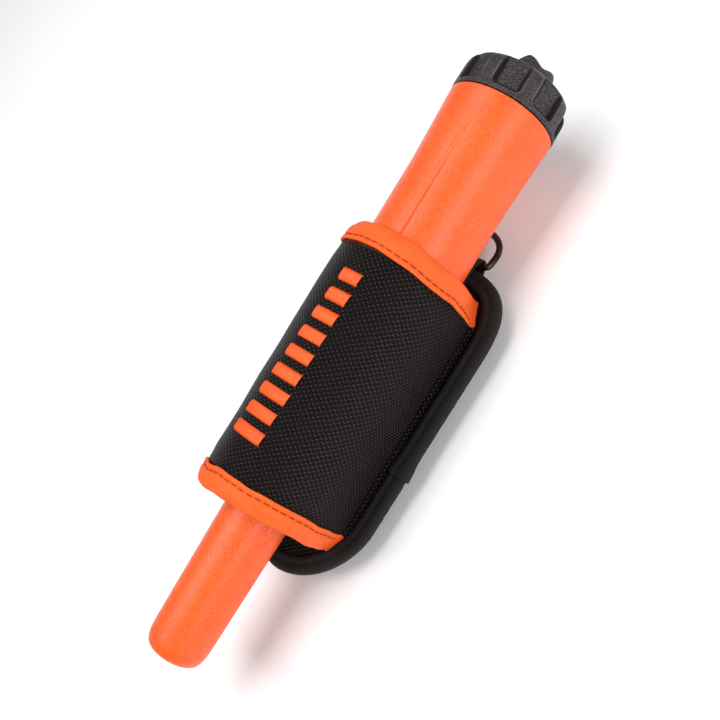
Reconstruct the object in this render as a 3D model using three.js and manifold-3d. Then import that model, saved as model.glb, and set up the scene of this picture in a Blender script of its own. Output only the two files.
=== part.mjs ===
// A pinpointer probe in its belt holster, in millimetres.
// +X is across the holster, +Y runs from the probe's tip to its cap, +Z points away from the wearer.
// The origin is below the middle of the object, on the outer face of the belt loop.
// A "station" is a distance from the probe's tip. A "height" is measured from the probe's axis.
// An "azimuth" turns about the probe's axis, from +Z towards +X.

import * as THREE from 'three';
import { mergeVertices } from 'three/addons/utils/BufferGeometryUtils.js';
import Module from 'manifold-3d';

const wasm = await Module();
wasm.setup();

// ---------------------------------------------------------------- driving dimensions

const LENGTH = 230;                 // tip to the top of the guard on the cap
const AXIS_Z = 32.3;                // the probe's axis above the belt face
const GAP = 0.3;                    // between pieces that touch

const TUBE_RADIUS = 11.4;           // search tube, at its middle
const HANDLE_RADIUS = 18;
const MOUTH_RADIUS = 19.2;
const WALL = 2;                     // shell
const FLARE_START = 84;             // stations along the shell
const FLARE_END = 91;
const HANDLE_START = 112;
const HANDLE_TAPER = 183;
const MOUTH = 210.4;
const TIP_WALL = 2.2;

const RIB_AZIMUTH = 14.1;           // degrees
const RIB_WIDTH = 1.6;
const RIB_HEIGHT = 0.95;
const SCRAPER_AZIMUTH = 77;
const SCRAPER_HEIGHT = 0.7;

const CAP_RADIUS = 19.4;
const CAP_BASE = MOUTH + GAP;
const CAP_SHOULDER = 219;
const POCKETS = 8;
const POCKET_AZIMUTH = 28.5;
const POCKET_HALF_ANGLE = 15;
const POCKET_DEPTH = 1.2;
const POCKET_START = 212.6;
const GUARD_AZIMUTH = 62;
const GUARD_SPAN = 112;
const THREAD_PITCH = 3;
const BUTTON_RADIUS = 4.6;

const BATTERY = { width: 26.5, height: 17.5, length: 46.2, corner: 2, start: 155 };
const TERMINAL_X = 6.35;
const COIL = { start: 6.5, end: 44.5, inner: 5.6, outer: 7.9 };
const MOTOR = { height: 5.5, radius: 3.5, start: 118, end: 132 };
const BOARD = { start: 62, end: 140, half: 8, top: -1.4, thick: 1.2 };

const PANEL_FRONT = 11.9;           // heights above the belt face
const PANEL_BACK = 7.4;
const PANEL = {
  upperHalf: 28.9, lowerHalf: 27.9, // half-widths
  upperStart: 138.3, apex: 165.8,   // stations of the rounded ends
  lowerStart: 70, foot: 40.4,
  upperPower: 2.8, lowerPower: 1.8,
};
const BINDING_WIDTH = 4.6;
const SLEEVE_OUTER = 23.7;
const SLEEVE_INNER = 20.4;
const SEAM_X = 17.5;                // where the sleeve is sewn to the panel
const TONGUE_X = 22;                // edge of the sewn-down allowance
const TONGUE = 1.2;                 // its thickness
const SLEEVE_START = 64.4;
const SLEEVE_END = 147;
const LOWER_TRIM_START = 56.6;
const UPPER_TRIM_END = 155.9;
const LINING = { inner: 19.3, outer: 20.1, start: 57.1, end: 155.2 };

const STRAP = 1.8;                  // belt loop webbing
const LOOP = { half: 19, start: 88, end: 149, foot: 5 };
const RING = {
  bar: 168, height: 9.65, wire: 1.2, halfWidth: 11.2, rise: 8.8, arm: 4.4, corner: 1.6,
  droop: 10,                        // degrees that it hangs back towards the wearer
};
const TAB_HALF = 8.8;

// ---------------------------------------------------------------- finishes

const finish = (color, roughness, metalness = 0) => ({ color, roughness, metalness });
const ORANGE_PLASTIC = finish(0xff641e, 0.42);
const BLACK_PLASTIC = finish(0x1d1a1c, 0.55);
const BLACK_RUBBER = finish(0x141314, 0.75);
const BLACK_NYLON = finish(0x17161a, 0.85);
const ORANGE_NYLON = finish(0xff5a1c, 0.8);
const WEBBING = finish(0x121214, 0.8);
const LINING_CLOTH = finish(0x1b1b1d, 0.9);
const BLACK_STEEL = finish(0x17130f, 0.3, 0.6);
const FERRITE = finish(0x2a2a2c, 0.6);
const COPPER = finish(0xb5652b, 0.35, 0.8);
const NATURAL_PLASTIC = finish(0xd8d2c4, 0.5);
const BOARD_GREEN = finish(0x16512b, 0.45);
const CHIP = finish(0x161618, 0.5);
const TINNED = finish(0xbfc0c2, 0.3, 0.9);
const BRASS = finish(0xc9a24a, 0.3, 0.9);
const CLEAR = finish(0xdfe8ee, 0.1);
const BATTERY_CASE = finish(0x3a3d42, 0.35, 0.3);
const FOAM = finish(0x333336, 0.95);

// ---------------------------------------------------------------- geometry helpers

const at = (station) => station - LENGTH / 2;
const above = (height) => AXIS_Z + height;
const radians = THREE.MathUtils.degToRad;

function signedVolume(positions, index) {
  const [a, b, c] = [new THREE.Vector3(), new THREE.Vector3(), new THREE.Vector3()];
  let total = 0;
  for (let i = 0; i < index.length; i += 3) {
    a.fromArray(positions, 3 * index[i]);
    b.fromArray(positions, 3 * index[i + 1]);
    c.fromArray(positions, 3 * index[i + 2]);
    total += a.dot(b.cross(c)) / 6;
  }
  return total;
}

// One closed mesh with shared vertices, no empty triangles, and its faces pointing out.
function closed(geometry) {
  for (const name of ['normal', 'uv']) geometry.deleteAttribute(name);
  const merged = mergeVertices(geometry, 1e-4);
  const positions = merged.attributes.position.array;
  const index = [];
  for (let i = 0; i < merged.index.count; i += 3) {
    const [a, b, c] = [0, 1, 2].map((k) => merged.index.getX(i + k));
    if (a !== b && b !== c && c !== a) index.push(a, b, c);
  }
  if (signedVolume(positions, index) < 0) index.reverse();
  merged.setIndex(index);
  return merged;
}

function solid(geometry) {
  const mesh = closed(geometry);
  return new wasm.Manifold(new wasm.Mesh({
    numProp: 3,
    vertProperties: new Float32Array(mesh.attributes.position.array),
    triVerts: new Uint32Array(mesh.index.array),
  }));
}

function geometryOf(manifold) {
  const { vertProperties, triVerts } = manifold.getMesh();
  const geometry = new THREE.BufferGeometry();
  geometry.setAttribute('position', new THREE.BufferAttribute(new Float32Array(vertProperties), 3));
  geometry.setIndex(new THREE.BufferAttribute(new Uint32Array(triVerts), 1));
  return geometry;
}

const joined = (first, ...rest) => geometryOf(rest.reduce((sum, part) => sum.add(solid(part)), solid(first)));
const cut = (first, ...rest) => geometryOf(rest.reduce((sum, part) => sum.subtract(solid(part)), solid(first)));
const shared = (first, second) => geometryOf(solid(first).intersect(solid(second)));

// A profile of [radius, station] pairs, turned about the probe's axis.
function turned(profile, segments = 40) {
  const points = profile.map(([radius, station]) => new THREE.Vector2(radius, at(station)));
  return new THREE.LatheGeometry(points, segments).translate(0, 0, AXIS_Z);
}

// A round bar along Y at a place across the probe.
function bar(radius, start, end, { x = 0, height = 0, segments = 20 } = {}) {
  const geometry = new THREE.CylinderGeometry(radius, radius, end - start, segments);
  return geometry.translate(x, at((start + end) / 2), above(height));
}

// A block between two corners: x, station and height from the axis.
function block([x0, start, low], [x1, end, high]) {
  const geometry = new THREE.BoxGeometry(x1 - x0, end - start, high - low);
  return geometry.translate((x0 + x1) / 2, at((start + end) / 2), above((low + high) / 2));
}

const outlineShape = (points) => new THREE.Shape(points.map(([u, v]) => new THREE.Vector2(u, v)));

// A shape in X and Z, pushed along Y.
function alongY(shape, start, end) {
  const geometry = new THREE.ExtrudeGeometry(shape, { depth: end - start, bevelEnabled: false });
  return geometry.rotateX(Math.PI / 2).translate(0, at(end), 0);
}

// A shape in Y and Z, pushed along X by the same amount to each side.
function acrossX(shape, half) {
  const geometry = new THREE.ExtrudeGeometry(shape, { depth: 2 * half, bevelEnabled: false, curveSegments: 8 });
  const turn = new THREE.Matrix4().makeBasis(
    new THREE.Vector3(0, 1, 0), new THREE.Vector3(0, 0, 1), new THREE.Vector3(1, 0, 0));
  return geometry.applyMatrix4(turn).translate(-half, 0, 0);
}

// Turns a piece that was made on top of the probe round to its azimuth.
function turnedTo(azimuth, geometry) {
  geometry.translate(0, 0, -AXIS_Z).rotateY(radians(azimuth));
  return geometry.translate(0, 0, AXIS_Z);
}

// A skin through equal outlines, closed at both ends. place turns an outline point into a 3-D one.
function loft(given, place) {
  const backwards = THREE.ShapeUtils.isClockWise(given[0]);
  const outlines = given.map((outline) => (backwards ? [...outline].reverse() : outline));
  const count = outlines[0].length;
  const points = outlines.flatMap((outline, step) => outline.map((point) => place(point, step)));
  const index = [];
  for (let step = 0; step + 1 < outlines.length; step++) {
    for (let i = 0; i < count; i++) {
      const [a, b] = [step * count + i, step * count + ((i + 1) % count)];
      index.push(a, b, b + count, a, b + count, a + count);
    }
  }
  const last = (outlines.length - 1) * count;
  for (const [a, b, c] of THREE.ShapeUtils.triangulateShape(outlines[0], [])) {
    index.push(c, b, a, last + a, last + b, last + c);
  }
  const geometry = new THREE.BufferGeometry().setFromPoints(points);
  geometry.setIndex(index);
  return geometry;
}

// A right-handed screw thread's ridge about the probe's axis, on a wall at root, reaching crest.
// Two ridges half a turn apart in phase run in each other's grooves.
function threadRidge({ root, crest, start, end, rootWidth, crestWidth, phase }) {
  const steps = Math.round(((end - start) / THREAD_PITCH) * 24);
  const section = [[root, -rootWidth / 2], [crest, -crestWidth / 2], [crest, crestWidth / 2], [root, rootWidth / 2]];
  const outline = section.map(([u, v]) => new THREE.Vector2(u, v));
  const outlines = Array.from({ length: steps + 1 }, () => outline);
  return loft(outlines, (point, step) => {
    const rise = ((end - start) * step) / steps;
    const turn = ((start + rise) / THREAD_PITCH) * 2 * Math.PI + phase;
    return new THREE.Vector3(
      point.x * Math.sin(turn), at(start + rise) + point.y, above(point.x * Math.cos(turn)));
  });
}

// ---------------------------------------------------------------- the probe's shell

function ribOutline() {
  const top = HANDLE_RADIUS + RIB_HEIGHT;
  const inside = HANDLE_RADIUS - 1;
  const points = [
    [118, inside], [118, HANDLE_RADIUS - 0.1], [126, top], [150, top],
    [HANDLE_TAPER, HANDLE_RADIUS + 0.35], [200, HANDLE_RADIUS + 0.6], [200, inside]];
  return outlineShape(points.map(([station, radius]) => [at(station), above(radius)]));
}

function scraperOutline() {
  const top = TUBE_RADIUS + SCRAPER_HEIGHT;
  const inside = TUBE_RADIUS - 0.8;
  const points = [
    [52.4, inside], [52.4, top - 0.35], [53, top], [FLARE_START, top + 0.3], [FLARE_START + 1, inside]];
  return outlineShape(points.map(([station, radius]) => [at(station), above(radius)]));
}

function shellGeometry() {
  const bore = HANDLE_RADIUS - WALL;
  const body = turned([
    [0, 0], [4, 0.15], [6.4, 0.6], [8.3, 1.5], [9.8, 3.1], [10.5, 5.2], [10.8, 10],
    [TUBE_RADIUS, 45], [12, FLARE_START], [12.4, 85], [13.6, 86.6], [15.2, 88.8], [16.4, FLARE_END],
    [17, 95], [17.55, 102], [HANDLE_RADIUS, HANDLE_START], [HANDLE_RADIUS, HANDLE_TAPER],
    [18.35, 191], [19.05, 206.5], [MOUTH_RADIUS, MOUTH],
    [17.7, MOUTH], [17.7, 206.6], [17.3, 206.4], [17.3, 201], [bore, 200.4],
    [bore, HANDLE_START + 1], [15.4, 101], [14.7, 94], [14.2, 91.8], [13, 89.8], [10.6, 86.2],
    [10, FLARE_START], [9.5, 66], [9, 64], [9, 3.6], [8, TIP_WALL + 0.2], [0, TIP_WALL]], 36);
  const rib = turnedTo(RIB_AZIMUTH, acrossX(ribOutline(), RIB_WIDTH / 2));
  const scraper = turnedTo(SCRAPER_AZIMUTH, acrossX(scraperOutline(), 0.9));
  const thread = threadRidge({
    root: 17.5, crest: 16.5, start: 201.9, end: 205.4, rootWidth: 1.5, crestWidth: 0.7, phase: Math.PI });
  const ledHole = bar(2, 78, 96, { height: 12.8, segments: 16 });
  return cut(joined(body, rib, scraper, thread), ledHole);
}

// ---------------------------------------------------------------- the search head

const ferriteRod = () => bar(4, 4, 59);
const rodCushion = () => turned([[4.3, 4.2], [8.6, 4.2], [8.6, 4.7], [4.3, 4.7], [4.3, 4.2]], 24);

function coilFormer() {
  return turned([
    [4.3, 5], [8.5, 5], [8.5, 6.2], [5.3, 6.2], [5.3, 44.8], [8.5, 44.8], [8.5, 46], [4.3, 46], [4.3, 5]], 28);
}

function searchCoil() {
  const { start, end, inner, outer } = COIL;
  return turned([[inner, start], [outer, start], [outer, end], [inner, end], [inner, start]], 28);
}

function coilLead() {
  const stops = [[46.4, 6.6], [52, 6.8], [58, 6.5], [62.5, 3.4], [66.5, -0.4]];
  const path = new THREE.CatmullRomCurve3(
    stops.map(([station, height]) => new THREE.Vector3(0, at(station), above(height))));
  const section = new THREE.Shape().absarc(0, 0, 0.6, 0, 2 * Math.PI);
  return new THREE.ExtrudeGeometry(section, { steps: 14, curveSegments: 4, bevelEnabled: false, extrudePath: path });
}

// ---------------------------------------------------------------- the electronics

const mainBoard = () => block([-BOARD.half, BOARD.start, BOARD.top - BOARD.thick], [BOARD.half, BOARD.end, BOARD.top]);

// A part soldered to the board: its footprint and its height above the board.
function onBoard([x0, start], [x1, end], height) {
  const low = BOARD.top + GAP;
  return block([x0, start, low], [x1, end, low + height]);
}

function capacitor(x) {
  const can = new THREE.CylinderGeometry(2.5, 2.5, 6, 16).rotateX(Math.PI / 2);
  return can.translate(x, at(93), above(BOARD.top + GAP + 3));
}

function motorSaddle() {
  const cradle = onBoard([-3.4, 119.5], [3.4, 130.5], 4.1);
  return cut(cradle, bar(MOTOR.radius + GAP, 119, 131, { height: MOTOR.height, segments: 24 }));
}

const motorShaft = () => bar(0.5, 109, MOTOR.start - GAP, { height: MOTOR.height, segments: 12 });

function eccentricWeight() {
  const disc = bar(3.2, 110.5, 115.5, { height: MOTOR.height, segments: 24 });
  const lowerHalf = block([-4, 110, MOTOR.height - 4], [4, 116, MOTOR.height + 0.4]);
  return cut(shared(disc, lowerHalf), bar(0.8, 110, 116, { height: MOTOR.height, segments: 12 }),
    block([-0.8, 110, MOTOR.height], [0.8, 116, MOTOR.height + 1]));
}

function ledLens() {
  const dome = [[0, 85.9], [0.9, 86.1], [1.5, 86.6], [1.7, 87.3], [1.7, 91.4], [0, 91.4]];
  return turned(dome, 16).translate(0, 0, 12.8);
}

const led = () => turned([[0, 91.8], [1.1, 92], [1.5, 92.9], [1.5, 96.4], [0, 96.4]], 14).translate(0, 0, 12.8);

// ---------------------------------------------------------------- the battery bay

const RAIL = { half: 3, low: 9.3, high: 11 };
const STRIP = { half: 2, low: 11.3, high: 11.7 };

// A block above the axis, or its mirror image below it.
function sided(side, [x0, start, low], [x1, end, high]) {
  const [bottom, top] = side > 0 ? [low, high] : [-high, -low];
  return block([x0, start, bottom], [x1, end, top]);
}

function batteryChassis() {
  const bulkhead = bar(15.6, 149, 151.5, { segments: 32 });
  const rails = [1, -1].map((side) => sided(side, [-RAIL.half, 151, RAIL.low], [RAIL.half, 200, RAIL.high]));
  return joined(bulkhead, ...rails);
}

const contactStrip = (side) => sided(side, [-STRIP.half, 151.8, STRIP.low], [STRIP.half, 207.6, STRIP.high]);
const batteryContact = (x) => bar(3.4, 151.8, 152.5, { x, segments: 16 });

function battery() {
  const { width, height, length, corner, start } = BATTERY;
  const [x, z] = [width / 2 - corner, height / 2 - corner];
  const shape = new THREE.Shape();
  const corners = [[x, z], [-x, z], [-x, -z], [x, -z]];
  corners.forEach(([cx, cz], i) => {
    shape.absarc(cx, AXIS_Z + cz, corner, (i * Math.PI) / 2, ((i + 1) * Math.PI) / 2);
  });
  const can = new THREE.ExtrudeGeometry(shape, { depth: length, bevelEnabled: false, curveSegments: 4 });
  can.rotateX(Math.PI / 2).translate(0, at(start + length), 0);
  const terminals = [[-TERMINAL_X, 2.8], [TERMINAL_X, 4.2]];
  return joined(can, ...terminals.map(([cx, radius]) => bar(radius, start - 2.2, start + 0.5, { x: cx, segments: 16 })));
}

const batteryPad = () => bar(10.6, 201.5, 207.7, { segments: 28 });

// ---------------------------------------------------------------- the cap

function capBody() {
  const spigot = 16.2;
  return turned([
    [15, 202.4], [spigot, 202.4], [spigot, 207.2], [17.3, 207.2], [17.3, 207.7], [15.9, 207.7],
    [15.9, 209.5], [17.3, 209.5], [17.3, CAP_BASE], [MOUTH_RADIUS + 0.1, CAP_BASE], [CAP_RADIUS, CAP_BASE + 0.7],
    [CAP_RADIUS - 0.15, CAP_SHOULDER], [18.95, 220.8], [18, 222.2], [16.6, 223], [15, 223.4],
    [9.8, 224.8], [9.3, 226.3], [8.7, 226.8], [6.6, 226.8], [6, 226.2], [5, 225.8],
    [5, 219.5], [13, 219.5], [13, 209.5], [15, 209.5], [15, 202.4]], 40);
}

function pocketCutter(azimuth) {
  const [floor, outside] = [CAP_RADIUS - POCKET_DEPTH, CAP_RADIUS + 3];
  const [left, right] = [-1, 1].map((side) => Math.PI / 2 + side * radians(POCKET_HALF_ANGLE));
  const shape = new THREE.Shape();
  shape.absarc(0, 0, outside, left, right, false);
  shape.absarc(0, 0, floor, right, left, true);
  const geometry = new THREE.ExtrudeGeometry(shape, { depth: 14, bevelEnabled: false, curveSegments: 4 });
  geometry.rotateX(Math.PI / 2).translate(0, at(POCKET_START) + 14, AXIS_Z);
  return turnedTo(azimuth, geometry);
}

// One curved wall of the button's guard, lower in its middle where the thumb crosses it.
function guardWall(azimuth) {
  const ring = turned([
    [6.5, 226], [9.1, 226], [8.9, 229.2], [8.4, LENGTH], [7, LENGTH], [6.5, 229.4], [6.5, 226]], 48);
  const reach = 14;
  const half = radians(GUARD_SPAN / 2);
  const wedge = outlineShape([
    [0, AXIS_Z], [reach * Math.sin(half), AXIS_Z + reach * Math.cos(half)], [reach, AXIS_Z + reach],
    [-reach, AXIS_Z + reach], [-reach * Math.sin(half), AXIS_Z + reach * Math.cos(half)]]);
  const dip = new THREE.CylinderGeometry(7.2, 7.2, 8, 32).rotateX(Math.PI / 2);
  dip.translate(0, at(LENGTH - 0.9 + 7.2), above(8));
  const wall = shared(ring, turnedTo(azimuth, alongY(wedge, 225, 231)));
  return cut(wall, turnedTo(azimuth, dip));
}

function capGeometry() {
  const thread = threadRidge({
    root: 15.9, crest: 17, start: 202.9, end: 206.4, rootWidth: 1.5, crestWidth: 0.7, phase: 0 });
  const walls = [0, 180].map((turn) => guardWall(GUARD_AZIMUTH + turn));
  const grips = Array.from({ length: POCKETS }, (_, i) => pocketCutter(POCKET_AZIMUTH + (i * 360) / POCKETS));
  return cut(joined(capBody(), thread, ...walls), ...grips);
}

function oRing() {
  const ring = new THREE.TorusGeometry(16.8, 0.65, 8, 40).rotateX(Math.PI / 2);
  return ring.translate(0, at(208.6), AXIS_Z);
}

const switchBoard = () => bar(14.6, 208, 209.2, { segments: 32 });

function tactileSwitch() {
  return joined(block([-3, 209.5, -3], [3, 213, 3]), bar(1.7, 212.8, 214.3, { segments: 12 }));
}

function powerButton() {
  return turned([
    [0, 215], [2, 215], [2, 217.6], [7.5, 217.6], [7.5, 218.8], [BUTTON_RADIUS, 218.8],
    [BUTTON_RADIUS, 226.1], [3.9, 226.8], [2, 227.1], [0, 227.2]], 28);
}

// ---------------------------------------------------------------- the holster

// The back panel's outline, drawn in by an inset.
function panelOutline(inset) {
  const { upperHalf, lowerHalf, upperStart, apex, lowerStart, foot, upperPower, lowerPower } = PANEL;
  const steps = 14;
  const points = [];
  const quarter = (half, length, power, start, direction, side, reverse) => {
    for (let i = 0; i <= steps; i++) {
      const angle = ((reverse ? steps - i : i) / steps) * (Math.PI / 2);
      const x = half * Math.cos(angle) ** (2 / power);
      const y = length * Math.sin(angle) ** (2 / power);
      points.push(new THREE.Vector2(side * x, at(start) + direction * y));
    }
  };
  const [upper, lower] = [upperHalf - inset, lowerHalf - inset];
  const [rise, drop] = [apex - upperStart - inset, lowerStart - foot - inset];
  quarter(lower, drop, lowerPower, lowerStart, -1, 1, true);
  quarter(upper, rise, upperPower, upperStart, 1, 1, false);
  quarter(upper, rise, upperPower, upperStart, 1, -1, true);
  quarter(lower, drop, lowerPower, lowerStart, -1, -1, false);
  return points.filter((point, i) => i === 0 || point.distanceTo(points[i - 1]) > 0.01);
}

function upright(shape, low, high) {
  return new THREE.ExtrudeGeometry(shape, { depth: high - low, bevelEnabled: false }).translate(0, 0, low);
}

const backPanel = () => upright(new THREE.Shape(panelOutline(BINDING_WIDTH + GAP)), PANEL_BACK, PANEL_FRONT);

function edgeBinding() {
  const shape = new THREE.Shape(panelOutline(0));
  shape.holes.push(new THREE.Path(panelOutline(BINDING_WIDTH)));
  return upright(shape, PANEL_BACK, PANEL_FRONT + 0.5);
}

// The sleeve's section: an arch over the probe, with an allowance sewn flat on the panel at each side.
function archOutline({ outer, inner, seam, tongue }) {
  const floor = PANEL_FRONT + GAP;
  const ledge = floor + TONGUE;
  const drop = ledge - AXIS_Z;
  const meet = Math.atan2(seam, drop) - Math.acos(outer / Math.hypot(seam, drop));
  const points = [new THREE.Vector2(tongue, floor), new THREE.Vector2(tongue, ledge), new THREE.Vector2(seam, ledge)];
  const arc = (radius, from, to, steps) => {
    for (let i = 0; i <= steps; i++) {
      const angle = from + ((to - from) * i) / steps;
      points.push(new THREE.Vector2(radius * Math.sin(angle), above(radius * Math.cos(angle))));
    }
  };
  arc(outer, meet, -meet, 26);
  points.push(new THREE.Vector2(-seam, ledge), new THREE.Vector2(-tongue, ledge), new THREE.Vector2(-tongue, floor));
  const end = Math.acos((floor - AXIS_Z) / inner);
  arc(inner, -end, end, 30);
  return points;
}

const archBetween = (stops) => loft(
  stops.map((stop) => archOutline(stop)),
  (point, step) => new THREE.Vector3(point.x, at(stops[step].station), point.y));

const archStop = (station, outer, seam, tongue) => ({ station, outer, inner: SLEEVE_INNER, seam, tongue });

const sleeve = () => archBetween([
  archStop(SLEEVE_START, SLEEVE_OUTER, SEAM_X, TONGUE_X), archStop(SLEEVE_END, SLEEVE_OUTER, SEAM_X, TONGUE_X)]);

const lowerTrim = () => archBetween([
  archStop(LOWER_TRIM_START, SLEEVE_OUTER - 0.4, 15.5, 17.8), archStop(60, SLEEVE_OUTER, 16.8, 19.6),
  archStop(SLEEVE_START - GAP, SLEEVE_OUTER, SEAM_X, 21.3)]);

const upperTrim = () => archBetween([
  archStop(SLEEVE_END + GAP, SLEEVE_OUTER, SEAM_X, TONGUE_X), archStop(150.1, SLEEVE_OUTER - 0.1, 17, 19.9),
  archStop(153.1, SLEEVE_OUTER - 1, 16.2, 18.2), archStop(155.1, SLEEVE_OUTER - 2, 15.6, 17.8),
  archStop(UPPER_TRIM_END, SLEEVE_OUTER - 2.6, 15.2, 17.4)]);

function sleeveLining() {
  const { inner, outer, start, end } = LINING;
  return turned([[inner, start], [outer, start], [outer, end], [inner, end], [inner, start]], 40);
}

function beltLoop() {
  const { half, start, end, foot } = LOOP;
  const top = PANEL_BACK - GAP;
  const points = [
    [start, 0], [end, 0], [end, top - STRAP], [end + foot, top - STRAP], [end + foot, top], [end - STRAP, top],
    [end - STRAP, STRAP], [start + STRAP, STRAP], [start + STRAP, top], [start - foot, top],
    [start - foot, top - STRAP], [start, top - STRAP]];
  return acrossX(outlineShape(points.map(([station, z]) => [at(station), z])), half);
}

// Webbing folded round the ring's bar, with a tail sewn to each face of the panel.
function ringTab() {
  const { bar: station, height } = RING;
  const [tail, bend, nose] = [158, 166.1, station + 2];
  const [back, front, webbing] = [PANEL_BACK - 0.6, PANEL_FRONT + 0.8, 0.9];
  const points = [
    [tail, back - webbing], [bend, back - webbing], [nose - 1.4, back], [nose, height - 1.3],
    [nose, height + 1.3], [nose - 1.4, front], [bend, front + webbing], [tail, front + webbing],
    [tail, front], [bend, front], [bend, back], [tail, back]];
  const shape = outlineShape(points.map(([where, z]) => [at(where), z]));
  shape.holes.push(new THREE.Path().absarc(at(station), height, RING.wire + GAP, 0, 2 * Math.PI, true));
  return acrossX(shape, TAB_HALF);
}

function dRing() {
  const { bar: station, height, wire, halfWidth, rise, arm, corner, droop } = RING;
  const [base, shoulder] = [at(station), at(station + arm)];
  const points = [];
  const arc = (cx, cy, rx, ry, from, to, steps) => {
    for (let i = 0; i < steps; i++) {
      const angle = radians(from + ((to - from) * i) / steps);
      points.push(new THREE.Vector3(cx + rx * Math.cos(angle), cy + ry * Math.sin(angle), height));
    }
  };
  const side = halfWidth - corner;
  arc(side, base + corner, corner, corner, -90, 0, 4);
  arc(0, shoulder, halfWidth, rise, 0, 180, 24);
  arc(-side, base + corner, corner, corner, 180, 270, 4);
  for (let i = 0; i < 6; i++) points.push(new THREE.Vector3(-side + (2 * side * i) / 6, base, height));
  const path = new THREE.CatmullRomCurve3(points, true, 'catmullrom', 0.3);
  const ring = new THREE.TubeGeometry(path, 48, wire, 8, true).translate(0, -base, -height);
  return ring.rotateX(radians(-droop)).translate(0, base, height);
}

// ---------------------------------------------------------------- the assembly

function piece(name, geometry, { color, roughness, metalness }) {
  const mesh = new THREE.Mesh(closed(geometry), new THREE.MeshStandardMaterial({ color, roughness, metalness }));
  mesh.name = name;
  return mesh;
}

function group(...pieces) {
  const result = new THREE.Group();
  result.add(...pieces);
  return result;
}

const holster = group(
  piece('back_panel', backPanel(), BLACK_NYLON),
  piece('edge_binding', edgeBinding(), WEBBING),
  piece('sleeve', sleeve(), BLACK_NYLON),
  piece('sleeve_lining', sleeveLining(), LINING_CLOTH),
  piece('upper_trim', upperTrim(), ORANGE_NYLON),
  piece('lower_trim', lowerTrim(), ORANGE_NYLON),
  piece('belt_loop', beltLoop(), WEBBING),
  piece('ring_tab', ringTab(), WEBBING),
  piece('d_ring', dRing(), BLACK_STEEL));

const probe = group(
  piece('shell', shellGeometry(), ORANGE_PLASTIC),
  piece('ferrite_rod', ferriteRod(), FERRITE),
  piece('rod_cushion', rodCushion(), FOAM),
  piece('coil_former', coilFormer(), NATURAL_PLASTIC),
  piece('search_coil', searchCoil(), COPPER),
  piece('coil_lead', coilLead(), COPPER),
  piece('main_board', mainBoard(), BOARD_GREEN),
  piece('microcontroller', onBoard([-3.5, 74], [3.5, 81], 1.2), CHIP),
  piece('coil_driver', onBoard([-2.5, 68], [2.5, 72], 1.5), CHIP),
  piece('crystal', onBoard([-2.4, 84], [2.4, 86.4], 1.6), TINNED),
  piece('capacitor_left', capacitor(-3.4), TINNED),
  piece('capacitor_right', capacitor(3.4), TINNED),
  piece('motor_saddle', motorSaddle(), BLACK_RUBBER),
  piece('vibration_motor', bar(MOTOR.radius, MOTOR.start, MOTOR.end, { height: MOTOR.height }), TINNED),
  piece('motor_shaft', motorShaft(), TINNED),
  piece('eccentric_weight', eccentricWeight(), BRASS),
  piece('piezo_buzzer', bar(12, 143, 146.5, { segments: 32 }), BRASS),
  piece('led', led(), CLEAR),
  piece('led_lens', ledLens(), CLEAR),
  piece('battery_chassis', batteryChassis(), NATURAL_PLASTIC),
  piece('contact_strip_upper', contactStrip(1), BRASS),
  piece('contact_strip_lower', contactStrip(-1), BRASS),
  piece('battery_contact_left', batteryContact(-TERMINAL_X), BRASS),
  piece('battery_contact_right', batteryContact(TERMINAL_X), BRASS),
  piece('battery', battery(), BATTERY_CASE));

const screwCap = group(
  piece('cap', capGeometry(), BLACK_PLASTIC),
  piece('o_ring', oRing(), BLACK_RUBBER),
  piece('battery_pad', batteryPad(), FOAM),
  piece('switch_board', switchBoard(), BOARD_GREEN),
  piece('tactile_switch', tactileSwitch(), CHIP),
  piece('power_button', powerButton(), BLACK_RUBBER));

const pinpointer = group(holster, probe, screwCap);

export default pinpointer;
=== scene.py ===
"""A pinpointer probe in its belt holster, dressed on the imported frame. Lengths here are in millimetres.

A station is a distance from the probe's tip along +Y. An azimuth turns about the probe's axis, from +Z
towards +X. A cloth's "cloth" UV map is in millimetres too, so every weave has its real pitch.
"""

import math

import bmesh
import bpy
import numpy as np
from mathutils import Matrix, Vector, noise


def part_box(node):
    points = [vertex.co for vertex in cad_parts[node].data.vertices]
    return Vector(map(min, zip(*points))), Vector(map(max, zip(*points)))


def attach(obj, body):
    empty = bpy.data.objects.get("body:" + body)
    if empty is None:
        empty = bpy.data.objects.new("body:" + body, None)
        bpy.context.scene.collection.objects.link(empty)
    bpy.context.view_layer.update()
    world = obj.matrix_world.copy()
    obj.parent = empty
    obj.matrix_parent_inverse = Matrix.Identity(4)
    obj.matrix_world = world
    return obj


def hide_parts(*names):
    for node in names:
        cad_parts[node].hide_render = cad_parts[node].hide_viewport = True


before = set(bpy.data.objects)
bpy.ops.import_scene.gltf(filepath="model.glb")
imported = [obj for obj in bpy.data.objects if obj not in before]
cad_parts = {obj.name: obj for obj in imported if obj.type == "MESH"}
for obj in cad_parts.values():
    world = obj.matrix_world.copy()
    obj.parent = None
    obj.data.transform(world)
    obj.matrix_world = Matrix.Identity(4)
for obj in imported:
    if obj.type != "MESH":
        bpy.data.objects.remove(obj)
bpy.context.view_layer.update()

MM = 0.001
WELD = 0.0002          # points closer than this are one point


def corners(node):
    return [np.array(corner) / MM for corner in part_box(node)]


SEAL_LOW, SEAL_HIGH = corners("o_ring")
AXIS_Z = (SEAL_LOW[2] + SEAL_HIGH[2]) / 2
TIP_Y = corners("shell")[0][1]


def stations(node):
    """The stations where a node starts and ends."""
    low, high = corners(node)
    return low[1] - TIP_Y, high[1] - TIP_Y


MOUTH = stations("shell")[1]
PANEL_BACK, PANEL_FRONT = corners("back_panel")[0][2], corners("back_panel")[1][2]
SLEEVE_START, SLEEVE_END = stations("sleeve")
SLEEVE_OUTER = corners("sleeve")[1][2] - AXIS_Z
SLEEVE_FLOOR = corners("sleeve")[0][2]


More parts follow.
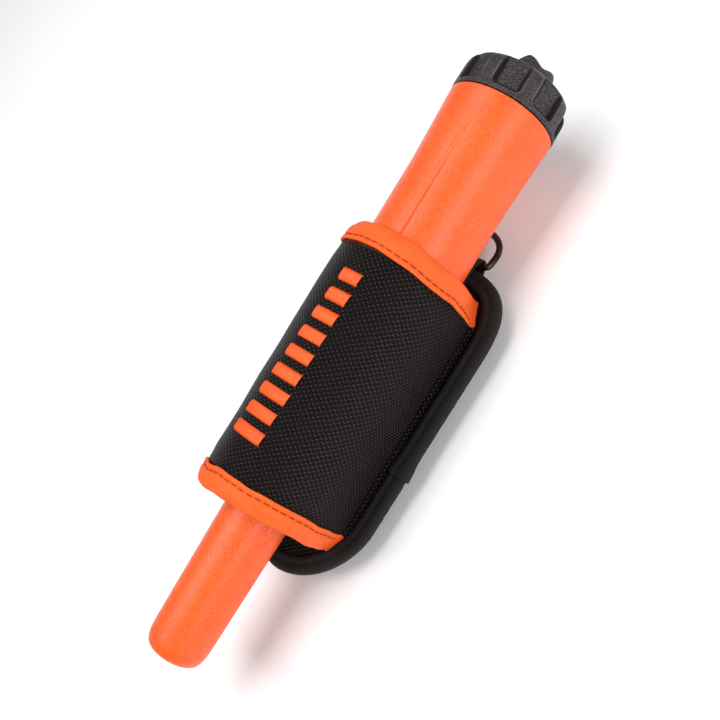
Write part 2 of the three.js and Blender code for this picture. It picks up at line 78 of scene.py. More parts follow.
# ---------------------------------------------------------------- places and curves


def at(station):
    return station + TIP_Y


def around(radius, azimuth, station):
    """Points at a radius, an azimuth in degrees and a station, all of them arrays or numbers."""
    radius, angle, station = np.broadcast_arrays(radius, np.radians(azimuth), station)
    return np.stack([radius * np.sin(angle), at(station), AXIS_Z + radius * np.cos(angle)], -1)


def smooth(low, high, value):
    share = np.clip((np.asarray(value, float) - low) / (high - low), 0, 1)
    return share * share * (3 - 2 * share)


def rounded(points, fillet, steps=5, closed=False):
    """A polyline with its corners rounded. A point may bring its own fillet as a third number."""
    given = [np.array(point[:2], float) for point in points]
    sizes = [point[2] if len(point) > 2 else fillet for point in points]
    count = len(given)
    line = []
    for i, (here, size) in enumerate(zip(given, sizes)):
        if size <= 0 or (not closed and i in (0, count - 1)):
            line.append(here)
            continue
        back, on = given[i - 1] - here, given[(i + 1) % count] - here
        reach = min(size, 0.49 * np.linalg.norm(back), 0.49 * np.linalg.norm(on))
        first = here + back / np.linalg.norm(back) * reach
        last = here + on / np.linalg.norm(on) * reach
        for share in np.linspace(0, 1, steps + 1):
            line.append((1 - share) ** 2 * first + 2 * share * (1 - share) * here + share**2 * last)
    return np.array(line)


def lengths(line):
    return np.concatenate([[0], np.cumsum(np.linalg.norm(np.diff(line, axis=0), axis=1))])


def evenly(line, count):
    """The line again, with that many points spaced evenly along it."""
    along = lengths(line)
    places = np.linspace(0, along[-1], count)
    return np.stack([np.interp(places, along, line[:, k]) for k in range(line.shape[1])], -1)


def refined(step, *lines):
    """The lines again, each with the same extra points, so that no neighbours are further apart than step."""
    parts = [[line[0]] for line in lines]
    for k in range(len(lines[0]) - 1):
        spans = [line[k + 1] - line[k] for line in lines]
        count = max(1, math.ceil(max(np.linalg.norm(span) for span in spans) / step))
        for part, line, span in zip(parts, lines, spans):
            part += [line[k] + span * i / count for i in range(1, count + 1)]
    return [np.array(part) for part in parts]


def wavy(points, size, depth, seed=0):
    """Smooth noise of about that wavelength and depth at each point."""
    shift = Vector((13.7 * seed, 7.1 * seed, 3.3 * seed))
    flat = points.reshape(-1, 3)
    values = [noise.noise(Vector(point) / size + shift) for point in flat]
    return depth * np.array(values).reshape(points.shape[:-1])


def unit(vectors):
    return vectors / np.maximum(np.linalg.norm(vectors, axis=-1, keepdims=True), 1e-9)


def cloth_uv(across, along):
    """A UV for every point of a grid, from its columns' and its rows' places in millimetres."""
    return np.stack(np.meshgrid(across, along), -1)


# ---------------------------------------------------------------- meshes


class Build:
    """Gathers grids of points into one mesh."""

    def __init__(self):
        self.points, self.faces, self.uvs, self.count = [], [], [], 0

    def grid(self, points, close_i=False, close_j=False, uv=None, ends=False):
        """Adds a grid of points (rows i, columns j). ends closes the open ends of a tube of closed rows."""
        rows, columns = points.shape[:2]
        over_i, over_j = rows - (not close_i), columns - (not close_j)
        i, j = np.meshgrid(np.arange(over_i), np.arange(over_j), indexing="ij")
        steps = [(i, j), (i, j + 1), (i + 1, j + 1), (i + 1, j)]
        quads = np.stack([(a % rows) * columns + b % columns for a, b in steps], -1).reshape(-1, 4)
        self.faces += (quads + self.count).tolist()
        if uv is None:
            self.uvs += [(0.0, 0.0)] * quads.size
        else:
            self.uvs += np.stack([uv[a, b] for a, b in steps], -2).reshape(-1, 2).tolist()
        if ends:
            for row in (0, rows - 1):
                self.faces.append([self.count + row * columns + k for k in range(columns)])
                self.uvs += [(0.0, 0.0)] * columns
        self.points.append(points.reshape(-1, 3))
        self.count += rows * columns
        return self

    def slab(self, front, back, uv=None):
        """A closed sheet between two grids of the same size."""
        rows, columns = front.shape[:2]
        start = self.count
        self.grid(front, uv=uv)
        self.grid(back, uv=uv)
        edge = [(0, k) for k in range(columns)] + [(k, columns - 1) for k in range(1, rows)]
        edge += [(rows - 1, k) for k in range(columns - 2, -1, -1)] + [(k, 0) for k in range(rows - 2, 0, -1)]
        ids = [start + a * columns + b for a, b in edge]
        places = [(0.0, 0.0) if uv is None else tuple(uv[a, b]) for a, b in edge]
        for k, (first, near) in enumerate(zip(ids, places)):
            on = (k + 1) % len(ids)
            other = rows * columns
            self.faces.append([first, ids[on], ids[on] + other, first + other])
            self.uvs += [near, places[on], places[on], near]
        return self

    def piece(self, name, body, slot, *nodes, material=None, crease=40):
        """The finished object. It rides on a body, takes a slot's finish and stands for some CAD nodes."""
        mesh = bpy.data.meshes.new(name)
        mesh.from_pydata((np.concatenate(self.points) * MM).tolist(), [], self.faces)
        mesh.uv_layers.new(name="cloth").data.foreach_set("uv", np.array(self.uvs, float).ravel())
        work = bmesh.new()
        work.from_mesh(mesh)
        bmesh.ops.remove_doubles(work, verts=work.verts, dist=WELD * MM)
        bmesh.ops.recalc_face_normals(work, faces=work.faces)
        work.to_mesh(mesh)
        work.free()
        return placed(name, mesh, body, slot, *nodes, material=material, crease=crease)


def placed(name, mesh, body, slot, *nodes, material=None, crease=40):
    mesh.materials.clear()
    mesh.materials.append(material or FINISHES[slot])
    smooth_but_for_creases(mesh, crease)
    made = bpy.data.objects.new(name, mesh)
    bpy.context.scene.collection.objects.link(made)
    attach(made, body)
    if nodes:
        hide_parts(*nodes)
    return made


def smooth_but_for_creases(mesh, crease):
    mesh.shade_smooth()
    mesh.set_sharp_from_angle(angle=math.radians(crease))


def apply_modifiers(piece, crease=40):
    mesh = bpy.data.meshes.new_from_object(piece.evaluated_get(bpy.context.evaluated_depsgraph_get()))
    piece.modifiers.clear()
    piece.data = mesh
    smooth_but_for_creases(mesh, crease)


def lathe(profile, segments=96, x=0.0, height=0.0):
    """Rows of points from [radius, station] pairs, turned about a line beside the probe's axis."""
    azimuth = np.arange(segments) * 360 / segments
    radius, station = np.array(profile, float).T
    return around(radius[:, None], azimuth[None], station[:, None]) + np.array([x, 0, height])


def turned(profile, segments=96, x=0.0, height=0.0, closed=False):
    """A profile turned into a mesh. closed is for a profile that is a loop beside the axis."""
    return Build().grid(lathe(profile, segments, x, height), close_i=closed, close_j=True)


def swept(line, across, up, section):
    """A closed section of (across, up) pairs carried along a line of points."""
    section = np.asarray(section, float)
    return line[:, None] + across[:, None] * section[None, :, :1] + up[:, None] * section[None, :, 1:]


def sewn(build, line, up, length=2.4, gap=0.7, thread=0.18, sink=0.06):
    """Single stitches of thread laid along a line of points. up is each point's outward direction."""
    along = lengths(line)
    count = int(along[-1] // (length + gap))
    margin = (along[-1] - count * (length + gap) + gap) / 2
    angles = np.arange(8) * math.pi / 4
    for k in range(count):
        places = margin + k * (length + gap) + np.linspace(0, length, 7)
        middle = np.stack([np.interp(places, along, line[:, c]) for c in range(3)], -1)
        lift = np.stack([np.interp(places, along, up[:, c]) for c in range(3)], -1)
        lift /= np.linalg.norm(lift, axis=1, keepdims=True)
        forward = np.gradient(middle, axis=0)
        side = np.cross(forward, lift)
        side /= np.linalg.norm(side, axis=1, keepdims=True)
        swell = np.sin(np.linspace(0, math.pi, 7))
        width = thread * (0.35 + 0.65 * swell**0.5)
        middle = middle + lift * (thread * 0.9 * swell - sink - thread * 0.4)[:, None]
        tube = middle[:, None] + width[:, None, None] * (
            np.cos(angles)[None, :, None] * side[:, None] + np.sin(angles)[None, :, None] * lift[:, None])
        build.grid(tube, close_j=True, ends=True)
    return build


# ---------------------------------------------------------------- materials


class Material:
    """A node material, built up from its coordinates to its shader."""

    def __init__(self, name, roughness=0.5, **sockets):
        self.material = bpy.data.materials.new(name)
        self.material.use_nodes = True
        self.tree = self.material.node_tree
        self.shader = self.tree.nodes["Principled BSDF"]
        self.shader.inputs["Roughness"].default_value = roughness
        for socket, value in sockets.items():
            self.shader.inputs[socket.replace("_", " ")].default_value = value

    def node(self, kind, inputs=(), **settings):
        made = self.tree.nodes.new("ShaderNode" + kind)
        for key, value in settings.items():
            setattr(made, key, value)
        for key, value in dict(inputs).items():
            if isinstance(value, bpy.types.NodeSocket):
                self.tree.links.new(value, made.inputs[key])
            else:
                made.inputs[key].default_value = value
        return made

    def math(self, operation, *values):
        return self.node("Math", dict(enumerate(values)), operation=operation).outputs[0]

    def object_mm(self):
        source = self.node("TexCoord").outputs["Object"]
        return self.node("VectorMath", {0: source, 1: (1 / MM,) * 3}, operation="MULTIPLY").outputs[0]

    def cloth_mm(self):
        return self.node("UVMap", uv_map="cloth").outputs[0]

    def noise(self, where, wavelength, detail=3.0, roughness=0.55):
        inputs = {"Vector": where, "Scale": 1 / wavelength, "Detail": detail, "Roughness": roughness}
        return self.node("TexNoise", inputs).outputs[0]

    def ramp(self, value, *stops):
        made = self.node("ValToRGB", {0: value})
        elements = made.color_ramp.elements
        while len(elements) < len(stops):
            elements.new(0.5)
        for element, (place, colour) in zip(elements, stops):
            element.position = place
            element.color = (*colour, 1) if isinstance(colour, tuple) else (colour,) * 3 + (1,)
        return made.outputs[0]

    def mix(self, share, first, second, blend="MIX"):
        made = self.node("Mix", data_type="RGBA", blend_type=blend)
        for socket, value in ((made.inputs[0], share), (made.inputs[6], first), (made.inputs[7], second)):
            if isinstance(value, bpy.types.NodeSocket):
                self.tree.links.new(value, socket)
            else:
                socket.default_value = (*value, 1) if isinstance(value, tuple) else value
        return made.outputs[2]

    def bump(self, height, depth, base=None):
        """depth is the height of 1 in millimetres."""
        inputs = {"Height": height, "Distance": depth * MM, "Strength": 1.0}
        if base is not None:
            inputs["Normal"] = base
        return self.node("Bump", inputs).outputs[0]

    def finish(self, colour=None, roughness=None, normal=None):
        for socket, value in (("Base Color", colour), ("Roughness", roughness), ("Normal", normal)):
            if value is not None:
                self.tree.links.new(value, self.shader.inputs[socket])
        return self.material


ORANGE = (0.86, 0.096, 0.008)
ORANGE_DEEP = (0.77, 0.078, 0.005)
ORANGE_CLOTH = (1.0, 0.150, 0.018)
BLACK = (0.008, 0.007, 0.0075)
CHARCOAL = (0.030, 0.027, 0.029)


def orange_plastic():
    """Satin moulded plastic with a fine spark texture, which breaks up its colour and its gloss."""
    made = Material("orange_plastic", 0.4, Specular_IOR_Level=0.44)
    where = made.object_mm()
    grain = made.noise(where, 0.55, 3.0, 0.65)
    blotch = made.noise(where, 2.4, 3.0, 0.6)
    cloud = made.noise(where, 16.0, 3.0, 0.5)
    colour = made.ramp(cloud, (0.3, ORANGE_DEEP), (0.7, ORANGE))
    colour = made.mix(made.ramp(grain, (0.47, 0.0), (0.68, 0.9)), colour, (0.98, 0.165, 0.028))
    colour = made.mix(made.ramp(grain, (0.32, 0.75), (0.46, 0.0)), colour, (0.74, 0.075, 0.004))
    rough = made.ramp(blotch, (0.3, 0.31), (0.7, 0.41))
    normal = made.bump(grain, 0.11, made.bump(cloud, 0.15))
    return made.finish(colour, rough, normal)


def black_plastic():
    """The cap's hard plastic, etched with a coarse grain that glints.

    The "cloth" map's U is 1 at the foot of a pocket's wall, where the colour is darkened as painted shade,
    and -1 on the rim above it, where the colour is lightened as a painted highlight. Its V is 1 on a pocket's
    floor.
    """
    made = Material("black_plastic", 0.5, Specular_IOR_Level=0.4)
    where = made.object_mm()
    grain = made.noise(where, 0.5, 3.0, 0.7)
    coarse = made.noise(where, 1.6, 2.0, 0.5)
    marks = made.node("SeparateXYZ", {0: made.cloth_mm()})
    land = made.ramp(grain, (0.42, (0.005, 0.0036, 0.0038)), (0.72, (0.085, 0.063, 0.068)))
    floor = made.ramp(grain, (0.47, (0.002, 0.0014, 0.0016)), (0.70, (0.12, 0.092, 0.105)))
    colour = made.mix(marks.outputs[1], land, floor)
    # painted shade darkens the foot of each pocket wall, and a painted highlight lightens the rim above it,
    # unevenly
    painted_shade = made.ramp(marks.outputs[0], (0.1, 0.0), (0.9, 0.92))
    painted_highlight = made.ramp(made.math("MULTIPLY", marks.outputs[0], -1.0), (0.1, 0.0), (0.9, 1.0))
    painted_highlight = made.math("MULTIPLY", painted_highlight, made.ramp(made.noise(where, 5.0), (0.35, 0.1), (0.65, 0.6)))
    colour = made.mix(painted_shade, colour, (0.0012, 0.0009, 0.0009))
    colour = made.mix(painted_highlight, colour, (0.13, 0.10, 0.105))
    rough = made.mix(painted_shade, made.ramp(coarse, (0.3, 0.36), (0.7, 0.54)), (0.85, 0.85, 0.85))
    normal = made.bump(grain, 0.2, made.bump(coarse, 0.12))
    return made.finish(colour, rough, normal)


def rubber(name, tone):
    made = Material(name, 0.6)
    where = made.object_mm()
    dust = made.noise(where, 3.0, 5.0, 0.6)
    fine = made.noise(where, 0.25, 2.0)
    colour = made.ramp(dust, (0.35, (tone, tone, tone)), (0.75, (tone * 2.2, tone * 2.1, tone * 2.1)))
    rough = made.ramp(dust, (0.3, 0.52), (0.7, 0.72))
    return made.finish(colour, rough, made.bump(fine, 0.03))


def weave(made, where, across, along, crossing=0.55):
    """(height, weft share) of a plain weave whose yarns are across and along millimetres apart."""
    split = made.node("SeparateXYZ", {0: where})
    u = made.math("DIVIDE", split.outputs[0], across)
    v = made.math("DIVIDE", split.outputs[1], along)
    ripple_u = made.math("SINE", made.math("MULTIPLY", made.math("FRACT", u), math.pi))
    ripple_v = made.math("SINE", made.math("MULTIPLY", made.math("FRACT", v), math.pi))
    steps = made.math("ADD", made.math("FLOOR", u), made.math("FLOOR", v))
    weft = made.math("ABSOLUTE", made.math("MODULO", steps, 2.0))
    over_weft = made.math("MULTIPLY", ripple_u, made.math("POWER", ripple_v, crossing))
    over_warp = made.math("MULTIPLY", ripple_v, made.math("POWER", ripple_u, crossing))
    warp = made.math("SUBTRACT", 1.0, weft)
    height = made.math("ADD", made.math("MULTIPLY", over_weft, weft), made.math("MULTIPLY", over_warp, warp))
    return height, weft


def warped(made, where, wavelength, amount):
    """The same coordinates, pushed about a little so that the yarns don't run dead straight."""
    source = made.node("TexNoise", {"Vector": where, "Scale": 1 / wavelength, "Detail": 2.0}).outputs["Color"]
    centred = made.node("VectorMath", {0: source, 1: (0.5,) * 3}, operation="SUBTRACT").outputs[0]
    push = made.node("VectorMath", {0: centred, "Scale": amount}, operation="SCALE").outputs[0]
    return made.node("VectorMath", {0: where, 1: push}, operation="ADD").outputs[0]


def black_nylon():
    """Ballistic nylon: a coarse plain weave of filament yarn, its weft painted lighter than its warp as a
    painted sheen.
    """
    made = Material("black_nylon", 0.55, Specular_IOR_Level=0.16)
    where = warped(made, made.cloth_mm(), 7.0, 0.5)
    height, weft = weave(made, where, 1.12, 0.88)
    # painted sheen: weft yarns are coloured lighter than warp yarns; painted shade: the hollows between yarns
    # are darkened
    lit = made.mix(weft, (0.004, 0.0026, 0.0027), (0.036, 0.021, 0.021))
    painted_valley_shade = made.ramp(height, (0.25, 0.0), (0.8, 1.0))
    colour = made.mix(painted_valley_shade, (0.001, 0.0008, 0.0009), lit)
    fibres = made.noise(made.node("Mapping", {"Vector": where, "Scale": (1, 9, 1)}).outputs[0], 1.2, 2.0)
    patches = made.noise(where, 18.0, 3.0)
    rough = made.ramp(made.math("MULTIPLY", fibres, weft), (0.1, 0.60), (0.6, 0.30))
    colour = made.mix(made.ramp(patches, (0.3, 0.0), (0.75, 0.3)), colour, (0.012, 0.0075, 0.008))
    return made.finish(colour, rough, made.bump(height, 0.50, made.bump(fibres, 0.02)))


def orange_nylon():
    """The trim's tape: a fine plain weave, folded and pressed."""
    made = Material("orange_nylon", 0.62, Specular_IOR_Level=0.3)
    where = made.cloth_mm()
    height, _ = weave(made, where, 0.42, 0.42)
    cloud = made.noise(where, 6.0, 4.0)
    colour = made.ramp(cloud, (0.3, (0.92, 0.120, 0.012)), (0.7, ORANGE_CLOTH))
    # painted shade: darker in the hollows of the weave
    colour = made.mix(made.ramp(height, (0.1, 0.55), (0.7, 0.0)), colour, (0.55, 0.045, 0.004))
    rough = made.ramp(cloud, (0.3, 0.55), (0.7, 0.7))
    return made.finish(colour, rough, made.bump(height, 0.05, made.bump(cloud, 0.25)))


def webbing(name, rib, tone, depth=0.1):
    """Ribbed tape or webbing. The ribs lie across it, rib millimetres apart along it."""
    made = Material(name, 0.6, Specular_IOR_Level=0.22)
    where = warped(made, made.cloth_mm(), 9.0, 0.25)
    split = made.node("SeparateXYZ", {0: where})
    turn = made.math("MULTIPLY", made.math("FRACT", made.math("DIVIDE", split.outputs[1], rib)), math.pi)
    ribs = made.math("POWER", made.math("SINE", turn), 0.6)
    yarns = made.noise(made.node("Mapping", {"Vector": where, "Scale": (3, 1, 1)}).outputs[0], 0.8, 2.0)
    shade = made.math("MULTIPLY", ribs, made.ramp(yarns, (0.3, 0.6), (0.7, 1.0)))
    # painted shade: the colour darkens towards 12% in the hollows between ribs
    colour = made.ramp(shade, (0.15, tuple(0.12 * part for part in tone)), (0.85, tone))
    rough = made.ramp(yarns, (0.3, 0.5), (0.7, 0.68))
    return made.finish(colour, rough, made.bump(ribs, depth, made.bump(yarns, 0.04)))


def lining_cloth():
    """A brushed knit: rows of small loops under a soft nap."""
    made = Material("lining_cloth", 0.9, Sheen_Weight=0.5, Sheen_Roughness=0.5)
    where = warped(made, made.cloth_mm(), 3.0, 0.3)
    height, _ = weave(made, where, 0.7, 0.9, 1.4)
    nap = made.noise(where, 0.5, 4.0, 0.7)
    colour = made.ramp(nap, (0.3, BLACK), (0.75, CHARCOAL))
    return made.finish(colour, None, made.bump(height, 0.12, made.bump(nap, 0.08)))


def thread(name, colour):
    """Twisted sewing thread."""
    made = Material(name, 0.55, Specular_IOR_Level=0.3)
    where = made.object_mm()
    ply = made.node("TexWave", {"Vector": where, "Scale": 1.1, "Distortion": 1.5}, bands_direction="DIAGONAL")
    # painted shade: darker in the grooves between the plies
    shade = made.ramp(ply.outputs[1], (0.2, tuple(0.45 * part for part in colour)), (0.8, colour))
    return made.finish(shade, None, made.bump(ply.outputs[1], 0.05))


def satin_thread():
    """Glossy embroidery thread, lying side by side in rows 0.4 mm apart."""
    made = Material("satin_thread", 0.42, Specular_IOR_Level=0.3)
    where = made.cloth_mm()
    split = made.node("SeparateXYZ", {0: where})
    turn = made.math("MULTIPLY", made.math("FRACT", made.math("DIVIDE", split.outputs[0], 0.4)), math.pi)
    rows = made.math("SINE", turn)
    strands = made.noise(made.node("Mapping", {"Vector": where, "Scale": (6, 1, 1)}).outputs[0], 1.0, 3.0)
    colour = made.ramp(strands, (0.3, (0.72, 0.075, 0.004)), (0.7, (0.92, 0.125, 0.010)))
    # painted shade: darker in the hollows between the rows
    colour = made.mix(made.ramp(rows, (0.0, 0.7), (0.5, 0.0)), colour, (0.4, 0.03, 0.003))
    return made.finish(colour, None, made.bump(strands, 0.03))


def black_steel():
    """Wire with a brown-black oxide finish, worn brighter here and there."""
    made = Material("black_steel", 0.3, Metallic=0.75, Specular_IOR_Level=0.6)
    where = made.object_mm()
    wear = made.noise(where, 2.5, 5.0, 0.65)
    colour = made.ramp(wear, (0.4, (0.018, 0.013, 0.010)), (0.8, (0.09, 0.07, 0.055)))
    rough = made.ramp(wear, (0.3, 0.22), (0.7, 0.4))
    return made.finish(colour, rough, made.bump(made.noise(where, 0.5), 0.015))


def metal(name, colour, roughness):
    """Plated or plain sheet metal with faint drawing lines and handling marks."""
    made = Material(name, roughness, Metallic=1.0)
    where = made.object_mm()
    lines = made.noise(made.node("Mapping", {"Vector": where, "Scale": (6, 0.4, 6)}).outputs[0], 1.0, 3.0)
    marks = made.noise(where, 3.5, 5.0, 0.6)
    shade = made.ramp(marks, (0.3, tuple(0.72 * part for part in colour)), (0.7, colour))
    rough = made.ramp(lines, (0.3, roughness * 0.8), (0.7, roughness * 1.35))
    return made.finish(shade, rough, made.bump(lines, 0.01))


def plastic(name, colour, roughness=0.5, grain=0.8):
    """Plain moulded plastic: even colour with a slight mottle and a fine matt grain."""
    made = Material(name, roughness)
    where = made.object_mm()
    mottle = made.noise(where, 4.0, 4.0)
    shade = made.ramp(mottle, (0.3, tuple(0.8 * part for part in colour)), (0.7, colour))
    rough = made.ramp(mottle, (0.3, roughness * 0.85), (0.7, roughness * 1.15))
    return made.finish(shade, rough, made.bump(made.noise(where, grain), 0.03))


def ferrite():
    """Sintered ferrite: dark grey, gritty and slightly glittering."""
    made = Material("ferrite", 0.5, Metallic=0.3)
    where = made.object_mm()
    grit = made.noise(where, 0.3, 4.0, 0.7)
    colour = made.ramp(grit, (0.35, (0.012, 0.012, 0.013)), (0.75, (0.07, 0.07, 0.075)))
    return made.finish(colour, made.ramp(grit, (0.3, 0.4), (0.7, 0.7)), made.bump(grit, 0.05))


def copper():
    """Enamelled wire wound turn against turn along Y."""
    made = Material("copper", 0.28, Metallic=0.9, Coat_Weight=0.5)
    where = made.object_mm()
    split = made.node("SeparateXYZ", {0: where})
    turn = made.math("MULTIPLY", made.math("FRACT", made.math("DIVIDE", split.outputs[1], 0.35)), math.pi)
    turns = made.math("SINE", turn)
    tint = made.noise(where, 5.0, 3.0)
    colour = made.ramp(tint, (0.3, (0.42, 0.13, 0.04)), (0.7, (0.66, 0.24, 0.08)))
    # painted shade: darker in the grooves between the turns
    colour = made.mix(made.ramp(turns, (0.0, 0.8), (0.5, 0.0)), colour, (0.12, 0.03, 0.01))
    return made.finish(colour, None, made.bump(turns, 0.08))


def board():
    """Circuit board: solder mask over copper tracks, with rows of tinned pads."""
    made = Material("board", 0.35, Coat_Weight=0.3)
    where = made.object_mm()
    cells = made.node("TexVoronoi", {"Vector": where, "Scale": 0.35}, distance="MANHATTAN", feature="F1")
    spread = made.math("FRACT", made.math("MULTIPLY", cells.outputs["Distance"], 3))
    tracks = made.math("LESS_THAN", spread, 0.3)
    colour = made.mix(tracks, (0.008, 0.075, 0.025), (0.02, 0.16, 0.055))
    weave_mark = made.noise(where, 0.5, 2.0)
    rough = made.ramp(weave_mark, (0.3, 0.28), (0.7, 0.45))
    return made.finish(colour, rough, made.bump(tracks, 0.03))


def foam(name, tone):
    """Closed-cell foam: a skin of small round cells."""
    made = Material(name, 0.9)
    where = made.object_mm()
    cells = made.node("TexVoronoi", {"Vector": where, "Scale": 1.6}, feature="F1").outputs["Distance"]
    # painted shade: darker in the hollows of the cells
    colour = made.ramp(cells, (0.1, tuple(0.35 * part for part in tone)), (0.6, tone))
    return made.finish(colour, None, made.bump(cells, 0.2))


def clear(name):
    made = Material(name, 0.08, Transmission_Weight=1.0, IOR=1.49)
    where = made.object_mm()
    haze = made.noise(where, 1.5, 3.0)
    colour = made.ramp(haze, (0.3, (0.82, 0.88, 0.92)), (0.7, (0.95, 0.97, 0.98)))
    return made.finish(colour, made.ramp(haze, (0.3, 0.05), (0.8, 0.16)), made.bump(haze, 0.01))


def battery_skin():
    """A plain printed can: graphite with a lighter band at the terminal end."""
    made = Material("battery_case", 0.3, Metallic=0.6, Coat_Weight=0.4)
    where = made.object_mm()
    split = made.node("SeparateXYZ", {0: where})
    band = made.math("LESS_THAN", split.outputs[1], corners("battery")[0][1] + 12.0)
    scuffs = made.noise(where, 2.2, 5.0, 0.7)
    base = made.ramp(scuffs, (0.3, (0.035, 0.038, 0.042)), (0.75, (0.07, 0.075, 0.08)))
    colour = made.mix(band, base, (0.35, 0.32, 0.28))
    return made.finish(colour, made.ramp(scuffs, (0.3, 0.25), (0.7, 0.45)), made.bump(scuffs, 0.01))


def floor_paint():
    made = Material("floor_paint", 0.9, Specular_IOR_Level=0.1)
    mottle = made.noise(made.object_mm(), 60.0, 3.0)
    return made.finish(made.ramp(mottle, (0.3, (0.93, 0.93, 0.935)), (0.7, (0.95, 0.95, 0.95))))


FINISHES = {
    "orange_plastic": orange_plastic(),
    "black_plastic": black_plastic(),
    "black_rubber": rubber("black_rubber", 0.014),
    "black_nylon": black_nylon(),
    "orange_nylon": orange_nylon(),
    "webbing": webbing("strap_webbing", 1.1, (0.014, 0.012, 0.0125), 0.2),
    "lining_cloth": lining_cloth(),
    "black_steel": black_steel(),
    "ferrite": ferrite(),
    "copper": copper(),
    "natural_plastic": plastic("natural_plastic", (0.62, 0.57, 0.47), 0.45),
    "board": board(),
    "chip": plastic("chip", (0.02, 0.02, 0.022), 0.45, 0.4),
    "tinned": metal("tinned", (0.62, 0.62, 0.64), 0.3),
    "brass": metal("brass", (0.78, 0.55, 0.24), 0.28),
    "clear": clear("clear"),
    "battery_case": battery_skin(),
    "foam": foam("foam", (0.05, 0.05, 0.055)),
}
GROSGRAIN = webbing("grosgrain", 0.8, (0.013, 0.009, 0.0095), 0.24)
TAN_THREAD = thread("tan_thread", (0.20, 0.035, 0.008))
BLACK_THREAD = thread("black_thread", (0.007, 0.0055, 0.006))
SATIN_THREAD = satin_thread()


# ---------------------------------------------------------------- the view, the floor and the lights

CAMERA_PLACE = (187.221, -12.511, 244.86)
CAMERA_AIM = (14.121, -11.818, 32.3)
CAMERA_ROLL = 0.551
CAMERA_LENS = 42.498
CAMERA_SHIFT_Y = 0.0694
FLOOR_SIZE = 6000
FLOOR_DROP = 0.05      # below the belt loop, so that the two never share a plane
WORLD_STRENGTH = 0.33


def basis(back, up):
    """A turn whose Z points back and whose Y points up as nearly as it can."""
    back = back.normalized()
    right = up.cross(back).normalized()
    return Matrix((right, back.cross(right), back)).transposed()


def add_camera():
    data = bpy.data.cameras.new("camera")
    data.sensor_width = 36
    data.lens = CAMERA_LENS
    data.shift_y = CAMERA_SHIFT_Y
    data.clip_start, data.clip_end = 0.01, 20
    made = bpy.data.objects.new("camera", data)
    bpy.context.scene.collection.objects.link(made)
    back = Vector(CAMERA_PLACE) - Vector(CAMERA_AIM)
    turn = basis(back, Vector((0, 1, 0))) @ Matrix.Rotation(CAMERA_ROLL, 3, "Z")
    made.matrix_world = Matrix.Translation(Vector(CAMERA_PLACE) * MM) @ turn.to_4x4()
    bpy.context.scene.camera = made


def add_floor():
    half = FLOOR_SIZE / 2 * MM
    mesh = bpy.data.meshes.new("floor")
    square = [(-half, -half, 0), (half, -half, 0), (half, half, 0), (-half, half, 0)]
    mesh.from_pydata(square, [], [(0, 1, 2, 3)])
    mesh.materials.append(floor_paint())
    made = bpy.data.objects.new("floor", mesh)
    made.location.z = -FLOOR_DROP * MM
    bpy.context.scene.collection.objects.link(made)


def add_light(name, azimuth, distance, station, size, power):
    """A soft box that faces the probe from an azimuth."""
    data = bpy.data.lights.new(name, "AREA")
    data.shape = "RECTANGLE"
    data.size, data.size_y = size[0] * MM, size[1] * MM
    data.energy = power
    made = bpy.data.objects.new(name, data)
    place = Vector(around(distance, azimuth, station))
    aim = Vector((0, at(station), AXIS_Z))
    made.matrix_world = Matrix.Translation(place * MM) @ basis(place - aim, Vector((0, 1, 0))).to_4x4()
    bpy.context.scene.collection.objects.link(made)


def add_world():
    world = bpy.data.worlds.new("studio")
    world.use_nodes = True
    world.node_tree.nodes["Background"].inputs["Color"].default_value = (1, 1, 1, 1)
    world.node_tree.nodes["Background"].inputs["Strength"].default_value = WORLD_STRENGTH
    bpy.context.scene.world = world
    bpy.context.scene.view_settings.view_transform = "Standard"


add_camera()
add_floor()
add_light("key_box", -12, 700, 95, (460, 680), 5.1)
add_light("fill_box", 64, 760, 170, (250, 560), 3.7)
add_world()


# ---------------------------------------------------------------- the probe's shell

RIB_AZIMUTH, RIB_WIDTH, RIB_HEIGHT = 14.1, 1.25, 0.95
SCRAPER_AZIMUTH, SCRAPER_WIDTH, SCRAPER_HEIGHT = 77.0, 1.8, 0.7
THREAD_PITCH, THREAD_DEPTH = 3.0, 0.8
LED_HEIGHT = 12.8
RIB_STATIONS, RIB_RISE = [118, 126, 150, 176, 192, 201], [0, 1, 1, 0.75, 0.3, 0]


def ridge(offset, half, edge):
    """1 on a ridge that wide to each side, falling smoothly to 0 over its edge."""
    return 1 - smooth(half - edge / 2, half + edge / 2, np.abs(offset))


def screw(azimuth, station, phase, start, end):
    """How high a right-handed thread's ridge stands at each point, from 0 to 1."""
    turns = (station / THREAD_PITCH - azimuth / 360 + phase + 0.5) % 1.0 - 0.5
    live = smooth(start - 0.8, start, station) * (1 - smooth(end, end + 0.8, station))
    return ridge(turns * THREAD_PITCH, 0.55, 0.45) * live


def closer_at(*marks, coarse=3.0, fine=0.4, reach=7.0):
    """Azimuths all round, closer together near the marks."""
    plain = np.arange(0, 360, coarse)
    angles = [value for value in plain if all(abs(value - mark) > reach for mark in marks)]
    for mark in marks:
        angles += list(np.arange(mark - reach, mark + reach + fine / 2, fine))
    return np.array(sorted(angles))


def raised(azimuth, radius, station):
    """How far the grip rib and the scraper's edge stand out of the shell."""
    across = np.radians(azimuth - RIB_AZIMUTH) * radius
    rise = np.interp(station, RIB_STATIONS, RIB_RISE)
    rib = RIB_HEIGHT * rise * ridge(across, RIB_WIDTH / 2, 0.5)
    across = np.radians(azimuth - SCRAPER_AZIMUTH) * radius
    rise = smooth(52, 53.2, station) * (1 - smooth(83.5, 86, station))
    return rib + SCRAPER_HEIGHT * rise * ridge(across, SCRAPER_WIDTH / 2, 0.5)


